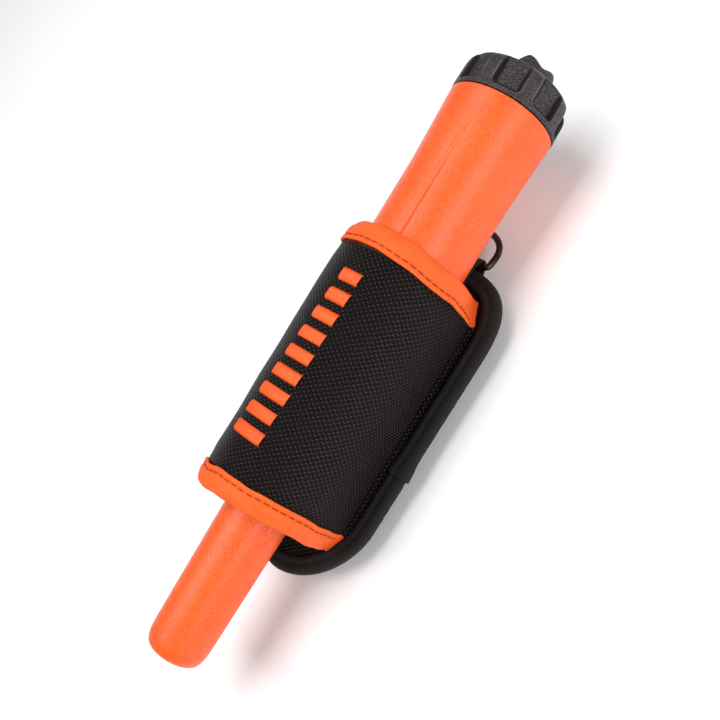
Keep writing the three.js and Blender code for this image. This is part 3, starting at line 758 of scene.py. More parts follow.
def add_shell():
    outer = rounded([
        (0, 0), (4, 0.15, 2), (6.6, 0.6, 2), (9.4, 2.0, 2.6), (10.55, 5.2, 3), (10.8, 10, 3), (11.4, 45, 4),
        (12, 84.2, 1.5), (13.6, 86.6, 1), (16.4, 91, 3), (17.45, 101, 5), (18, 112, 5), (18, 183, 6),
        (18.35, 191, 5), (19.05, 206.5, 2), (19.2, MOUTH, 0.3), (18.5, MOUTH)], 1, 8)
    neck = rounded([
        (18.5, MOUTH), (17.7, MOUTH, 0.25), (17.7, 206.6, 0.2), (17.3, 206.4, 0.2), (17.3, 201, 0.3),
        (16, 200.4)], 0.2, 3)
    bore = rounded([
        (16, 200.4), (16, 113, 1), (15.4, 101, 1), (14.2, 91.8, 1), (10.6, 86.2, 1), (10, 84, 1),
        (9.5, 66, 1), (9, 64, 0.5), (9, 3.6, 0.8), (8, 2.4, 0.8), (0, 2.2)], 0.2, 3)
    azimuth = closer_at(RIB_AZIMUTH, SCRAPER_AZIMUTH)[None]
    outer, neck = refined(1.6, outer)[0], refined(0.35, neck)[0]
    radius, station = outer.T[:, :, None]
    outside = around(radius + raised(azimuth, radius, station), azimuth, station)
    radius, station = np.concatenate([neck[1:], bore[1:]]).T[:, :, None]
    threaded = (radius > 17.2) & (radius < 17.4)
    depth = THREAD_DEPTH * threaded * screw(azimuth, station, 0.5, 201.9, 205.4)
    inside = around(radius - depth, azimuth, station)
    build = Build().grid(np.concatenate([outside, inside]), close_j=True)
    shell = build.piece("probe_shell", "probe", "orange_plastic", "shell")
    drill(shell, 2.0, 78, 96)


def drill(piece, radius, start, end):
    """Cuts the light's hole, which runs along the probe above its axis."""
    profile = [(0, start), (radius, start), (radius, end), (0, end)]
    tool = turned(profile, 40, height=LED_HEIGHT).piece("light_hole", "probe", "clear")
    cut = piece.modifiers.new("light_hole", "BOOLEAN")
    cut.object, cut.operation, cut.solver = tool, "DIFFERENCE", "EXACT"
    apply_modifiers(piece, 35)
    bpy.data.objects.remove(tool)


add_shell()

# ---------------------------------------------------------------- the cap

CAP_RADIUS = corners("cap")[1][0]
CAP_BASE = MOUTH + 0.3
POCKET_AZIMUTH, POCKET_HALF, POCKET_DEPTH, POCKET_START, POCKET_CORNER = 28.5, 15.2, 1.9, 212.4, 1.8
GUARD_AZIMUTH, GUARD_HALF, GUARD_DIP = 62.0, 57.0, 1.5


def into_pocket(azimuth, station):
    """How far inside a grip pocket's edge a point is, less than 0 on the lands. Its corners are round."""
    turn = (azimuth - POCKET_AZIMUTH + 22.5) % 45.0 - 22.5
    side = np.radians(POCKET_HALF - np.abs(turn)) * CAP_RADIUS
    low = station - POCKET_START
    into_side, into_low = np.minimum(side, POCKET_CORNER), np.minimum(low, POCKET_CORNER)
    round_corner = POCKET_CORNER - np.hypot(POCKET_CORNER - into_side, POCKET_CORNER - into_low)
    return np.where((side < POCKET_CORNER) & (low < POCKET_CORNER), round_corner, np.minimum(side, low))


def cap_outlines():
    """The cap's closed outline between the button guard's two walls, and through one of them."""
    start = [
        (15, 202.4), (16.2, 202.4, 0.3), (16.2, 207.2, 0.1), (17.3, 207.2, 0.2), (17.3, 207.7, 0.2),
        (15.9, 207.7, 0.2), (15.9, 209.5, 0.2), (17.3, 209.5, 0.1), (17.3, CAP_BASE, 0.1),
        (CAP_RADIUS - 0.1, CAP_BASE, 0.4), (CAP_RADIUS, CAP_BASE + 1, 0.4), (CAP_RADIUS - 0.15, 219, 1.4),
        (18.95, 220.8, 0.8), (18.1, 222.1, 0.5), (17.2, 222.9, 0.3), (16.5, 223.3, 0.3),
        (16.1, 222.95, 0.25), (15, 223.2, 0.4), (9.9, 224.8, 0.4)]
    collar = [(9.4, 225.6, 0.4), (9.1, 226.3, 0.4), (8.7, 226.8, 0.4), (7.6, 226.8, 0.3), (6.6, 226.7, 0.4)]
    guard = [(9.7, 227.2, 0.8), (9.5, 229.3, 1.0), (8.6, 230.3, 1.0), (7.2, 230.1, 1.0), (6.6, 228.6, 1.0)]
    end = [
        (6.3, 226.0, 0.4), (5, 225.8, 0.3), (5, 219.5, 0.3), (13, 219.5, 0.5), (13, 209.5, 0.3),
        (15, 209.5, 0.3)]
    return refined(0.45, *[rounded(start + middle + end, 0, 5, closed=True) for middle in (collar, guard)])


def add_cap():
    plain, walled = cap_outlines()
    walls = [(POCKET_AZIMUTH + 45 * k + side * POCKET_HALF) % 360 for k in range(8) for side in (-1, 1)]
    azimuth = closer_at(*walls, coarse=1.5, fine=0.3, reach=1.2)[None]
    turn = (azimuth - GUARD_AZIMUTH + 90) % 180 - 90
    share = 1 - smooth(GUARD_HALF - 22, GUARD_HALF + 6, np.abs(turn))
    radius, station = [plain[:, k][:, None] * (1 - share) + walled[:, k][:, None] * share for k in (0, 1)]
    crossing = np.exp(-((turn / 20) ** 2))
    station = station - GUARD_DIP * crossing * smooth(226.8, 229, station)
    spigot = (radius > 16.1) & (radius < 16.3) & (station < 207)
    lift = THREAD_DEPTH * spigot * screw(azimuth, station, 0.0, 202.9, 206.4)
    inside = into_pocket(azimuth, station)
    sunk = smooth(0, 0.45, inside)
    room = np.maximum(radius - CAP_RADIUS + POCKET_DEPTH, 0)
    points = around(radius - room * sunk + lift, azimuth, station)
    # U is positive at the foot of each pocket wall, where the material paints shade, and negative on the rim
    # above, where it paints a highlight
    edges = ridge(inside - 0.65, 0.55, 0.5) - ridge(inside + 0.25, 0.25, 0.3)
    marks = np.stack([edges, sunk], -1) * np.minimum(room, 1)[..., None]
    marks = np.pad(marks, ((0, 1), (0, 1), (0, 0)), "wrap")
    build = Build().grid(points, close_i=True, close_j=True, uv=marks)
    build.piece("screw_cap", "cap", "black_plastic", "cap", crease=50)


def add_button():
    profile = rounded([
        (0, 215), (2, 215, 0.3), (2, 217.6, 0.3), (7.5, 217.6, 0.3), (7.5, 218.8, 0.3), (4.6, 218.8, 0.3),
        (4.6, 225.9, 0.5), (4.2, 226.7, 0.5), (3.2, 226.95, 0.3), (2.9, 226.75, 0.2), (2.5, 226.75, 0.2),
        (2.2, 227.05, 0.3), (0, 227.2)], 0.3, 5)
    turned(refined(0.6, profile)[0]).piece("push_button", "power_button", "black_rubber", "power_button")


def add_seal():
    low, high = corners("o_ring")
    thick = (high[1] - low[1]) / 2
    middle = (high[0] - thick, (low[1] + high[1]) / 2 - TIP_Y)
    turn = np.linspace(0, 2 * math.pi, 25)[:-1]
    profile = np.stack([middle[0] + thick * np.cos(turn), middle[1] + thick * np.sin(turn)], 1)
    turned(profile, 160, closed=True).piece("seal", "cap_seal", "black_rubber", "o_ring")


def add_light_parts():
    lens = rounded([
        (0, 85.9), (0.9, 86.1, 0.4), (1.5, 86.6, 0.4), (1.7, 87.4, 0.4), (1.7, 91.4, 0.1), (0, 91.4)], 0, 5)
    turned(lens, 40, height=LED_HEIGHT).piece("light_lens", "probe", "clear", "led_lens")
    lamp = rounded([
        (0, 91.8), (1.1, 92, 0.5), (1.25, 93.2, 0.4), (1.25, 95.3, 0.1), (1.5, 95.3, 0.1), (1.5, 96.4, 0.1),
        (0, 96.4)], 0, 5)
    turned(lamp, 40, height=LED_HEIGHT).piece("light_source", "probe", "clear", "led")


add_cap()
add_button()
add_seal()
add_light_parts()

# ---------------------------------------------------------------- the probe's insides

TERMINAL_X = 6.35
LEG_PITCH = 1.0
WINDING_PITCH, WINDING_RELIEF = 0.8, 0.18
BATTERY_CORNER = 4.0
BATTERY_RIM = 2.2      # how far the terminals stand out of the battery's can


def add_bar(node, body, slot, chamfer):
    """A round node again, finely turned and with its edges broken."""
    low, high = corners(node)
    radius = (high[0] - low[0]) / 2
    start, end = stations(node)
    profile = [
        (0, start), (radius - chamfer, start), (radius, start + chamfer), (radius, end - chamfer),
        (radius - chamfer, end), (0, end)]
    profile = refined(3.0, rounded(profile, chamfer * 0.4, 2))[0]
    x, z = (low[0] + high[0]) / 2, (low[2] + high[2]) / 2
    turned(profile, 72, x, z - AXIS_Z).piece(node + "_turned", body, slot, node)


def add_bevelled(node, body, slot, width):
    """A square-cut node again, with its edges broken."""
    made = placed(node + "_finished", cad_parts[node].data.copy(), body, slot, node)
    bevel = made.modifiers.new("edges", "BEVEL")
    bevel.width, bevel.segments = width * MM, 3
    bevel.limit_method, bevel.angle_limit = "ANGLE", math.radians(40)
    apply_modifiers(made, 30)


def add_chip(node):
    """A moulded package that stands on gull-wing legs, both within the node's box."""
    low, high = corners(node)
    middle, half = (low + high) / 2, (high - low) / 2
    leg, lift = 0.8, 0.15
    sides = [(half[0] - leg, half[1] - 0.05), (half[0] - leg - 0.12, half[1] - 0.15)]
    heights = [low[2] + lift, (low[2] + high[2]) / 2, high[2]]
    rows = []
    for height, (across, along) in zip(heights, (sides[1], sides[0], sides[1])):
        corner_points = [(across, along), (-across, along), (-across, -along), (across, -along)]
        loop = rounded(corner_points, 0.2, 3, closed=True) + middle[:2]
        rows.append(np.column_stack([loop, np.full(len(loop), height)]))
    Build().grid(np.array(rows), close_j=True, ends=True).piece(node + "_package", "probe", "chip", node)
    legs = Build()
    count = int(2 * half[1] / LEG_PITCH)
    path = rounded([
        (half[0] - leg - 0.1, heights[1]), (half[0] - 0.45, heights[1]), (half[0] - 0.35, low[2] + 0.1),
        (half[0], low[2] + 0.1)], 0.12, 2)
    for side in (-1, 1):
        for k in range(count):
            y = middle[1] + (k - (count - 1) / 2) * LEG_PITCH
            line = np.column_stack([middle[0] + side * path[:, 0], np.full(len(path), y), path[:, 1]])
            flat = unit(np.gradient(line, axis=0))
            across = np.tile([0.0, 1.0, 0.0], (len(line), 1))
            section = [(-0.2, -0.07), (0.2, -0.07), (0.2, 0.07), (-0.2, 0.07)]
            legs.grid(swept(line, across, np.cross(flat, across), section), close_j=True, ends=True)
    legs.piece(node + "_legs", "probe", "tinned")


def add_former():
    start, end = stations("coil_former")
    outside, inside = corners("coil_former")[1][0], corners("ferrite_rod")[1][0] + 0.3
    neck, flange = 5.3, 1.2
    profile = rounded([
        (inside, start), (outside, start), (outside, start + flange), (neck, start + flange),
        (neck, end - flange), (outside, end - flange), (outside, end), (inside, end)], 0.25, 3, closed=True)
    made = turned(refined(3, profile)[0], closed=True)
    made.piece("winding_former", "probe", "natural_plastic", "coil_former")


def add_winding():
    """The search coil, turn lying against turn."""
    start, end = stations("search_coil")
    inside, outside = 5.6, corners("search_coil")[1][0]
    station = np.arange(start + 0.2, end - 0.2, WINDING_PITCH / 6)
    azimuth = np.arange(0, 360, 6)[None]
    turns = np.abs(np.sin(math.pi * (station[:, None] / WINDING_PITCH - azimuth / 360)))
    wound = around(outside - WINDING_RELIEF + WINDING_RELIEF * turns, azimuth, station[:, None])
    core = around(np.full((2, 1), inside), azimuth, np.array([[station[-1]], [station[0]]]))
    build = Build().grid(np.concatenate([wound, core]), close_i=True, close_j=True)
    build.piece("winding", "probe", "copper", "search_coil")


def add_rod_cushion():
    inside, outside = 4.3, corners("rod_cushion")[1][0]
    start, end = stations("rod_cushion")
    profile = [(inside, start), (outside, start), (outside, end), (inside, end)]
    profile = rounded(profile, 0.15, 3, closed=True)
    washer = turned(refined(1, profile)[0], 72, closed=True)
    washer.piece("rod_washer", "probe", "foam", "rod_cushion")


def add_battery():
    low, high = corners("battery")
    half, middle = (high - low) / 2, (high[2] + low[2]) / 2
    top, end = stations("battery")
    start = top + BATTERY_RIM
    rows = []
    for station, inset in [
            (start, 1.0), (start + 0.15, 0.5), (start + 0.6, 0.1), (start + 1.2, 0.0), (start + 2.0, 0.25),
            (start + 2.4, 0.25), (start + 3.0, 0), (end - 1.2, 0), (end - 0.4, 0.15), (end, 0.8)]:
        across, up = half[0] - inset, half[2] - inset
        square = [(across, up), (-across, up), (-across, -up), (across, -up)]
        loop = rounded(square, BATTERY_CORNER - inset, 10, closed=True)
        rows.append(np.column_stack([loop[:, 0], np.full(len(loop), at(station)), loop[:, 1] + middle]))
    can = Build().grid(np.array(rows), close_j=True, ends=True)
    can.piece("battery_can", "battery", "battery_case", "battery")
    terminals = Build()
    foot = start + 0.05
    stud = [(0, top), (2.5, top, 0.3), (2.8, top + 0.7, 0.3), (2.5, top + 1.5, 0.2), (2.6, foot), (0, foot)]
    cup = [
        (0, start - 0.3), (2.9, start - 0.3, 0.2), (2.9, top + 0.3, 0.2), (3.3, top, 0.2),
        (4.1, top + 0.3, 0.2), (4.2, foot), (0, foot)]
    for x, profile in ((-TERMINAL_X, stud), (TERMINAL_X, cup)):
        terminals.grid(lathe(rounded(profile, 0, 4), 48, x, middle - AXIS_Z), close_j=True)
    terminals.piece("battery_terminals", "battery", "tinned", "battery")


for bar_name, bar_body, bar_slot, bar_chamfer in (
        ("ferrite_rod", "probe", "ferrite", 0.4), ("piezo_buzzer", "probe", "brass", 0.3),
        ("vibration_motor", "probe", "tinned", 0.4), ("motor_shaft", "motor_weight", "tinned", 0.12),
        ("battery_contact_left", "probe", "brass", 0.15), ("battery_contact_right", "probe", "brass", 0.15),
        ("switch_board", "cap", "board", 0.15)):
    add_bar(bar_name, bar_body, bar_slot, bar_chamfer)

for block_name, block_body, block_slot, block_width in (
        ("main_board", "probe", "board", 0.12), ("crystal", "probe", "tinned", 0.35),
        ("motor_saddle", "probe", "black_rubber", 0.25), ("eccentric_weight", "motor_weight", "brass", 0.2),
        ("battery_chassis", "probe", "natural_plastic", 0.3), ("contact_strip_upper", "probe", "brass", 0.12),
        ("contact_strip_lower", "probe", "brass", 0.12), ("tactile_switch", "cap", "chip", 0.2),
        ("capacitor_left", "probe", "tinned", 0.35), ("capacitor_right", "probe", "tinned", 0.35)):
    add_bevelled(block_name, block_body, block_slot, block_width)

add_bar("battery_pad", "cap", "foam", 0.6)
add_chip("microcontroller")
add_chip("coil_driver")
add_former()
add_winding()
add_rod_cushion()
add_battery()

# ---------------------------------------------------------------- the holster's back panel and its binding

LOWER_HALF, UPPER_START, LOWER_START, UPPER_POWER, LOWER_POWER = 27.9, 138.3, 70.0, 2.8, 1.8
BINDING_WIDTH = 4.6
LAP_STATION, LAP_LIFT, LAP_LENGTH = 90.5, 0.75, 9.0
SEAM_X, TONGUE_X = 20.6, 22.0
PANEL_PRESSURE = 0.15  # a soft fill, so that most of the belt loop's gap stays open
QUICK_SWELL = 0.8
PANEL_RIPPLE = 0.25
PANEL_SCALE, PANEL_FRAMES = 20, 20
LOOP_FEET = (82, 90), (147.5, 155)
UNDER_SLEEVE = 55, 158


def panel_outline(inset, count=360):
    """The panel's outline, drawn in by an inset: evenly spaced (x, station) points, up the +X side first."""
    foot, apex = stations("edge_binding")
    turn = np.linspace(0, math.pi / 2, 90)
    sides = []
    for half, power, start, rise in (
            (LOWER_HALF, LOWER_POWER, LOWER_START, foot + inset - LOWER_START),
            (corners("edge_binding")[1][0], UPPER_POWER, UPPER_START, apex - inset - UPPER_START)):
        across = (half - inset) * np.abs(np.cos(turn)) ** (2 / power)
        sides.append(np.stack([across, start + rise * np.sin(turn) ** (2 / power)], 1))
    right = np.concatenate([sides[0][::-1], sides[1]])
    return evenly(np.concatenate([right, right[::-1] * (-1, 1)]), count + 1)[:-1]


def half_width(station, inset):
    line = panel_outline(inset)
    right = line[:len(line) // 2]
    return np.interp(station, right[:, 1], right[:, 0], left=0, right=0)


def panel_mesh():
    """The padded panel before it is filled: two flat faces joined at the rim."""
    inset = BINDING_WIDTH + 0.3
    foot, apex = stations("back_panel")
    share = (1 - np.cos(np.linspace(0, math.pi, 74))) / 2
    station = foot + (apex - foot) * (0.65 * np.linspace(0, 1, 74) + 0.35 * share)
    across = np.linspace(-1, 1, 33)
    x = half_width(station, inset)[:, None] * across[None]
    y = np.repeat(at(station)[:, None], len(across), 1)
    heights = PANEL_FRONT - 0.35, PANEL_BACK + 0.35
    front, back = [np.stack([x, y, np.full_like(x, height)], -1) for height in heights]
    build = Build().slab(front, back, uv=np.stack([x, y], -1))
    return build.piece("padded_panel", "holster", "black_nylon", "back_panel", crease=60)


def free_share(x, station, front):
    """How free the panel's cloth is to swell at a point: nowhere along the rim and the seams."""
    rim = half_width(station, BINDING_WIDTH + 0.3) - np.abs(x)
    foot, apex = stations("back_panel")
    free = smooth(0.3, 4, rim) * smooth(0.3, 5, station - foot) * smooth(0.3, 5, apex - station)
    if front:
        covered = (station > UNDER_SLEEVE[0]) & (station < UNDER_SLEEVE[1])
        return np.where(covered, 0, free)
    for start, end in LOOP_FEET:
        near = ridge(station - (start + end) / 2, (end - start) / 2 + 1.5, 3) * ridge(x, 20.5, 3)
        free = free * (1 - near)
    sewn_down = smooth(54, 58, station) * (1 - smooth(155, 159, station))
    free = free * (1 - ridge(np.abs(x) - SEAM_X, 0.3, 3.4) * sewn_down)
    return free * (1 - ridge(station - 162, 5, 3) * ridge(x, 10, 3))


def add_panel():
    made = panel_mesh()
    mesh = made.data
    rest = np.array([vertex.co for vertex in mesh.vertices]) / MM
    middle = (PANEL_FRONT + PANEL_BACK) / 2
    front = rest[:, 2] > middle
    station = rest[:, 1] - TIP_Y
    free = np.where(front, *[free_share(rest[:, 0], station, side) for side in (True, False)])
    lift = QUICK_SWELL * free
    lift = swollen(made, rest, free)
    rest[:, 2] += np.where(front, 1, -1) * lift
    rest[:, 2] += np.where(front, -1, 1) * PANEL_RIPPLE * wavy(rest, 6.0, 1.0, 3) * free
    mesh.vertices.foreach_set("co", (rest * MM).ravel())
    finer = made.modifiers.new("finer", "SUBSURF")
    finer.levels = finer.render_levels = 1
    apply_modifiers(made, 60)


def swollen(made, rest, free):
    """How far each point moves out when the cloth is put under pressure, in millimetres.

    It runs at a larger scale, where the solver is steady.
    """
    trial = bpy.data.objects.new("panel_trial", made.data.copy())
    bpy.context.scene.collection.objects.link(trial)
    trial.data.vertices.foreach_set("co", (rest * MM * PANEL_SCALE).ravel())
    held = trial.vertex_groups.new(name="held")
    for index, share in enumerate(free):
        held.add([index], float(1 - share), "REPLACE")
    cloth = trial.modifiers.new("cloth", "CLOTH")
    cloth.settings.quality = 6
    cloth.settings.mass = 0.02
    cloth.settings.vertex_group_mass = "held"
    cloth.settings.use_pressure = True
    cloth.settings.uniform_pressure_force = PANEL_PRESSURE
    cloth.settings.effector_weights.gravity = 0
    cloth.collision_settings.use_collision = False
    for number in range(1, PANEL_FRAMES + 1):
        bpy.context.scene.frame_set(number)
    shown = trial.evaluated_get(bpy.context.evaluated_depsgraph_get()).data
    moved = np.array([vertex.co for vertex in shown.vertices]) / MM / PANEL_SCALE
    bpy.data.objects.remove(trial)
    bpy.context.scene.frame_set(1)
    return np.abs(moved[:, 2] - rest[:, 2])


def binding_section():
    """The folded tape's section: how far in from the outline, the height, and how far the lap lifts it."""
    loop = rounded([
        (BINDING_WIDTH, PANEL_BACK, 0.2), (BINDING_WIDTH + 1.1, PANEL_BACK - 0.05, 0.3),
        (BINDING_WIDTH + 1.2, PANEL_BACK - 0.6, 0.35), (3.4, PANEL_BACK - 0.75, 0.5),
        (2.6, PANEL_BACK - 0.25, 0.5), (1.4, PANEL_BACK - 0.2, 0.9), (0.1, PANEL_BACK + 0.8, 0.9),
        (0, 9.7, 1.0), (0.15, 10.9, 0.8), (1.3, 11.9, 0.9), (2.6, 12.15, 0.5), (3.0, 12.0, 0.3),
        (3.5, 12.3, 0.4), (4.4, 12.95, 0.6), (5.6, 12.85, 0.5), (6.2, 12.3, 0.35), (6.1, 11.95, 0.2),
        (BINDING_WIDTH, 11.9, 0.2)], 0.3, 3, closed=True)
    middle = np.array([3.2, (PANEL_BACK + PANEL_FRONT) / 2])
    grow = unit((loop - middle) * (1, 1.4))
    return loop, grow


def binding_line():
    """The binding's course: out on the +X side at the lap, round the panel, and back in under itself."""
    line = panel_outline(0)
    right = line[:len(line) // 2]
    lap = int(np.argmin(np.abs(right[:, 1] - LAP_STATION)))
    tangent = unit(np.roll(line, -1, 0) - np.roll(line, 1, 0))
    outward = np.stack([tangent[:, 1], -tangent[:, 0]], 1)
    order = (np.arange(len(line) + 7) + lap) % len(line)
    return line[order], outward[order], lengths(line[order])


def add_binding():
    line, outward, along = binding_line()
    loop, grow = binding_section()
    end = along[-1]
    lift = LAP_LIFT * (1 - smooth(1, LAP_LENGTH, along)) - 0.12 * smooth(end - LAP_LENGTH, end - 6, along)
    places = loop[None] + grow[None] * lift[:, None, None]
    crimp = wavy(np.stack([along, 0 * along, 0 * along], -1), 5.0, 0.14, 5)
    inward = places[..., 0] + crimp[:, None] * smooth(1, 5, places[..., 0])
    points = np.stack([
        line[:, None, 0] - outward[:, None, 0] * inward, at(line[:, None, 1] - outward[:, None, 1] * inward),
        places[..., 1] + 0.6 * crimp[:, None] * (places[..., 1] > 12)], -1)
    ring = np.concatenate([loop, loop[:1]])
    uv = cloth_uv(lengths(ring), along)
    made = Build().grid(points, close_j=True, uv=uv, ends=True).piece(
        "tape_binding", "holster", "webbing", "edge_binding", material=GROSGRAIN, crease=60)
    course = line - outward * 3.0
    front = np.stack([course[:, 0], at(course[:, 1]), 12.12 + 0.9 * lift], -1)
    back = front * (1, 1, 0) + (0, 0, PANEL_BACK - 0.3)
    build = Build()
    for side, seam_line in ((1.0, front), (-1.0, back)):
        sewn(build, seam_line, np.tile([0.0, 0.0, side], (len(line), 1)), 2.0, 0.8, 0.2)
    knot(build, line[0], outward[0])
    seam = build.piece("binding_stitches", "holster", "webbing", material=BLACK_THREAD)


def knot(build, place, outward):
    """The tuft of thread where the tape's end is tacked down."""
    for k in range(7):
        turn = 2.1 * k
        reach = 0.9 + 0.25 * (k % 3)
        first = np.array([place[0] - outward[0] * 0.6, at(place[1]), 12.2 + 0.1 * k])
        away = [math.cos(turn) * reach, -0.8 + 0.3 * math.sin(turn), 0.5 * math.cos(turn * 1.7)]
        last = first + np.array(away)
        line = first + (last - first) * np.linspace(0, 1, 9)[:, None]
        line[:, 2] += 0.3 * np.sin(np.linspace(0, math.pi, 9))
        sewn(build, line, np.tile([0.3, 0.1, 1.0], (9, 1)), np.linalg.norm(last - first) * 0.9, 0.0, 0.16)


add_panel()
add_binding()

# ---------------------------------------------------------------- the holster's sleeve, lining and trims

LEDGE = SLEEVE_FLOOR + 1.2
SLEEVE_INNER = 20.4
ARC_STEPS, FLOOR_STEPS, CORNER_STEPS = 100, 5, 12
INNER_MEET = math.radians(103)  # about where the outer line's straight side meets its arc
TRIM_FLAT_SHARE = 0.62  # a trim's flat width, as a share of the way round its folded section


def arch(radius, seam, tongue, ledge, inner=False):
    """A line over the probe from one sewn-down edge to the other: (x, z) points, always as many.

    The inner line's arc spans about the same azimuths as the outer line's, so that a face which joins the two
    stays in the cloth and never crosses the opening.
    """
    if inner:
        reach = math.sqrt(radius**2 - (ledge - AXIS_Z) ** 2)
        floor = np.linspace(tongue, reach, FLOOR_STEPS + 1)[:-1]
        meet = INNER_MEET
        turn = np.linspace(math.pi - math.asin(reach / radius), meet, CORNER_STEPS + 1)[:-1]
        corner = np.stack([radius * np.sin(turn), AXIS_Z + radius * np.cos(turn)], 1)
        side = np.concatenate([np.stack([floor, np.full(FLOOR_STEPS, ledge)], 1), corner])
    else:
        drop = ledge - AXIS_Z
        meet = math.atan2(seam, drop) - math.acos(min(radius / math.hypot(seam, drop), 1))
        first = (radius * math.sin(meet), AXIS_Z + radius * math.cos(meet))
        bend = rounded([(tongue, ledge), (seam, ledge, 3.0), first], 0, 8)
        floor, rise = np.linspace(bend[0], bend[1], 6)[:-1], np.linspace(bend[-2], bend[-1], 5)[1:-1]
        side = np.concatenate([floor, bend[1:-1], rise])
    turn = np.linspace(meet, -meet, ARC_STEPS)
    arc = np.stack([radius * np.sin(turn), AXIS_Z + radius * np.cos(turn)], 1)
    other = side[::-1] * (-1, 1)
    return np.concatenate([side, arc, other])


def skin(rows):
    """A grid from rows of (station, radius, seam, tongue, ledge, inner)."""
    grid = []
    for station, radius, seam, tongue, ledge, inner in rows:
        line = arch(radius, seam, tongue, ledge, inner)
        grid.append(np.column_stack([line[:, 0], np.full(len(line), at(station)), line[:, 1]]))
    return np.array(grid)


def azimuth_of(points):
    return np.degrees(np.arctan2(points[..., 0], points[..., 2] - AXIS_Z))


def pushed_out(points, amount):
    """The points moved away from the probe's axis."""
    away = points - np.stack([0 * points[..., 0], points[..., 1], 0 * points[..., 2] + AXIS_Z], -1)
    return points + unit(away) * amount[..., None]


def add_sleeve():
    stops = np.linspace(SLEEVE_START, SLEEVE_END, 76)
    outer = skin([(t, SLEEVE_OUTER, SEAM_X, TONGUE_X, LEDGE, False) for t in stops])
    inner = skin([(t, SLEEVE_INNER, SEAM_X, TONGUE_X, SLEEVE_FLOOR, True) for t in stops])
    window = smooth(11, 18, outer[..., 2])
    ends = np.minimum(stops - SLEEVE_START, SLEEVE_END - stops)[:, None]
    drawn = -0.35 * (1 - smooth(0, 6, ends)) * window
    outer = pushed_out(outer, wavy(outer, 16.0, 0.35, 1) * window + drawn)
    line = arch(SLEEVE_OUTER, SEAM_X, TONGUE_X, LEDGE)
    uv = cloth_uv(lengths(line) - lengths(line)[-1] / 2, stops)
    build = Build().slab(outer, inner, uv=uv)
    made = build.piece("nylon_sleeve", "holster", "black_nylon", "sleeve", crease=60)


def add_lining():
    """The lining's tube. The trims are turned in over both its ends."""
    high = corners("sleeve_lining")[1]
    start, end = stations("sleeve_lining")
    start, end = start + 2.4, end - 1.4
    outside, inside = high[0], high[0] - 0.8
    profile = rounded([(inside, start), (outside, start), (outside, end), (inside, end)], 0.3, 4, closed=True)
    loop = refined(1.5, np.concatenate([profile, profile[:1]]))[0]
    uv = cloth_uv(np.arange(121) * 2 * math.pi * outside / 120, lengths(loop))
    made = Build().grid(lathe(loop[:-1], 120), close_i=True, close_j=True, uv=uv).piece(
        "tube_lining", "holster", "lining_cloth", "sleeve_lining")


def trim_grid(profile, stops):
    """The folded trim's section carried over the arch. profile is of (station, lift, inner) points."""
    places, outers, seams, tongues = np.array(stops, float).T
    rows = []
    for station, lift, inner in profile:
        radius, seam, tongue = [np.interp(station, places, values) for values in (outers, seams, tongues)]
        if inner > 0.5:
            rows.append((station, SLEEVE_INNER, seam, tongue, SLEEVE_FLOOR, True))
        else:
            rows.append((station, radius + lift, seam + lift * 0.3, tongue, LEDGE + lift * 0.7, False))
    return skin(rows)


def wandered(points, share, near_shift, far_shift):
    """The points moved along the probe with the trim's two edges, by a share of the far one's shift."""
    azimuth = np.clip(azimuth_of(points), -120, 120)
    near, far = [np.interp(azimuth, *np.array(shift, float).T) for shift in (near_shift, far_shift)]
    points[..., 1] += near * (1 - share) + far * share
    return points


def add_trim(name, node, profile, stops, near_shift, far_shift, stitch_station, stitch_lift, seed):
    """A folded trim. Its profile's last three points lie on the sleeve's inner face."""
    section = rounded(profile, 0.5, 3)
    section = np.column_stack([section, np.arange(len(section)) >= len(section) - 3])
    section = np.concatenate([refined(0.5, section[:-3])[0], section[-3:]])
    near, far = section[:, 0].min(), section[:, 0].max()
    share = (section[:, :1] - near) / (far - near)
    points = wandered(trim_grid(section, stops), share, near_shift, far_shift)
    along = lengths(arch(SLEEVE_OUTER, SEAM_X, TONGUE_X, LEDGE))
    from_stitch = np.abs(section[:, 0] - stitch_station)[:, None]
    outside = (section[:, 2] < 0.5)[:, None]
    pucker = 0.16 * np.abs(np.sin(math.pi * along / 3.1))[None] * np.exp(-((from_stitch / 1.6) ** 2))
    crumple = wavy(points * (1, 1.6, 1), 5.0, 0.42, seed) * smooth(0.4, 2.5, from_stitch)
    groove = -0.2 * np.exp(-((from_stitch / 0.5) ** 2))
    points = pushed_out(points, (pucker + crumple + groove) * outside)
    points[..., 1] += wavy(points * (1, 0, 1), 7.0, 0.5, seed + 4) * outside
    loop = np.concatenate([section[:, :2], section[:1, :2]])
    uv = cloth_uv(lengths(loop), along - along[-1] / 2)[..., ::-1]
    made = Build().grid(points.transpose(1, 0, 2), close_j=True, uv=uv, ends=True).piece(
        name, "holster", "orange_nylon", node, crease=60)
    line = trim_grid([(stitch_station, stitch_lift, 0)], stops)[0]
    line = wandered(line, (stitch_station - near) / (far - near), near_shift, far_shift)
    line[:, 1] += wavy(line * (1, 0, 1), 7.0, 0.5, seed + 4)
    away = line - np.column_stack([0 * line[:, 0], line[:, 1], 0 * line[:, 2] + AXIS_Z])
    flat = np.abs(line[:, 0]) > SEAM_X + 1
    away = np.where((flat & (line[:, 2] < AXIS_Z - 15))[:, None], (0.0, 0.0, 1.0), unit(away))
    build = sewn(Build(), line[2:-2], away[2:-2], 2.5, 0.55, 0.15, 0.0)
    seam = build.piece(name + "_stitches", "holster", "orange_nylon", material=TAN_THREAD)
    width = lengths(section[:, :2])[-1] * TRIM_FLAT_SHARE
    flat = (width * MM, along[-1] * MM)


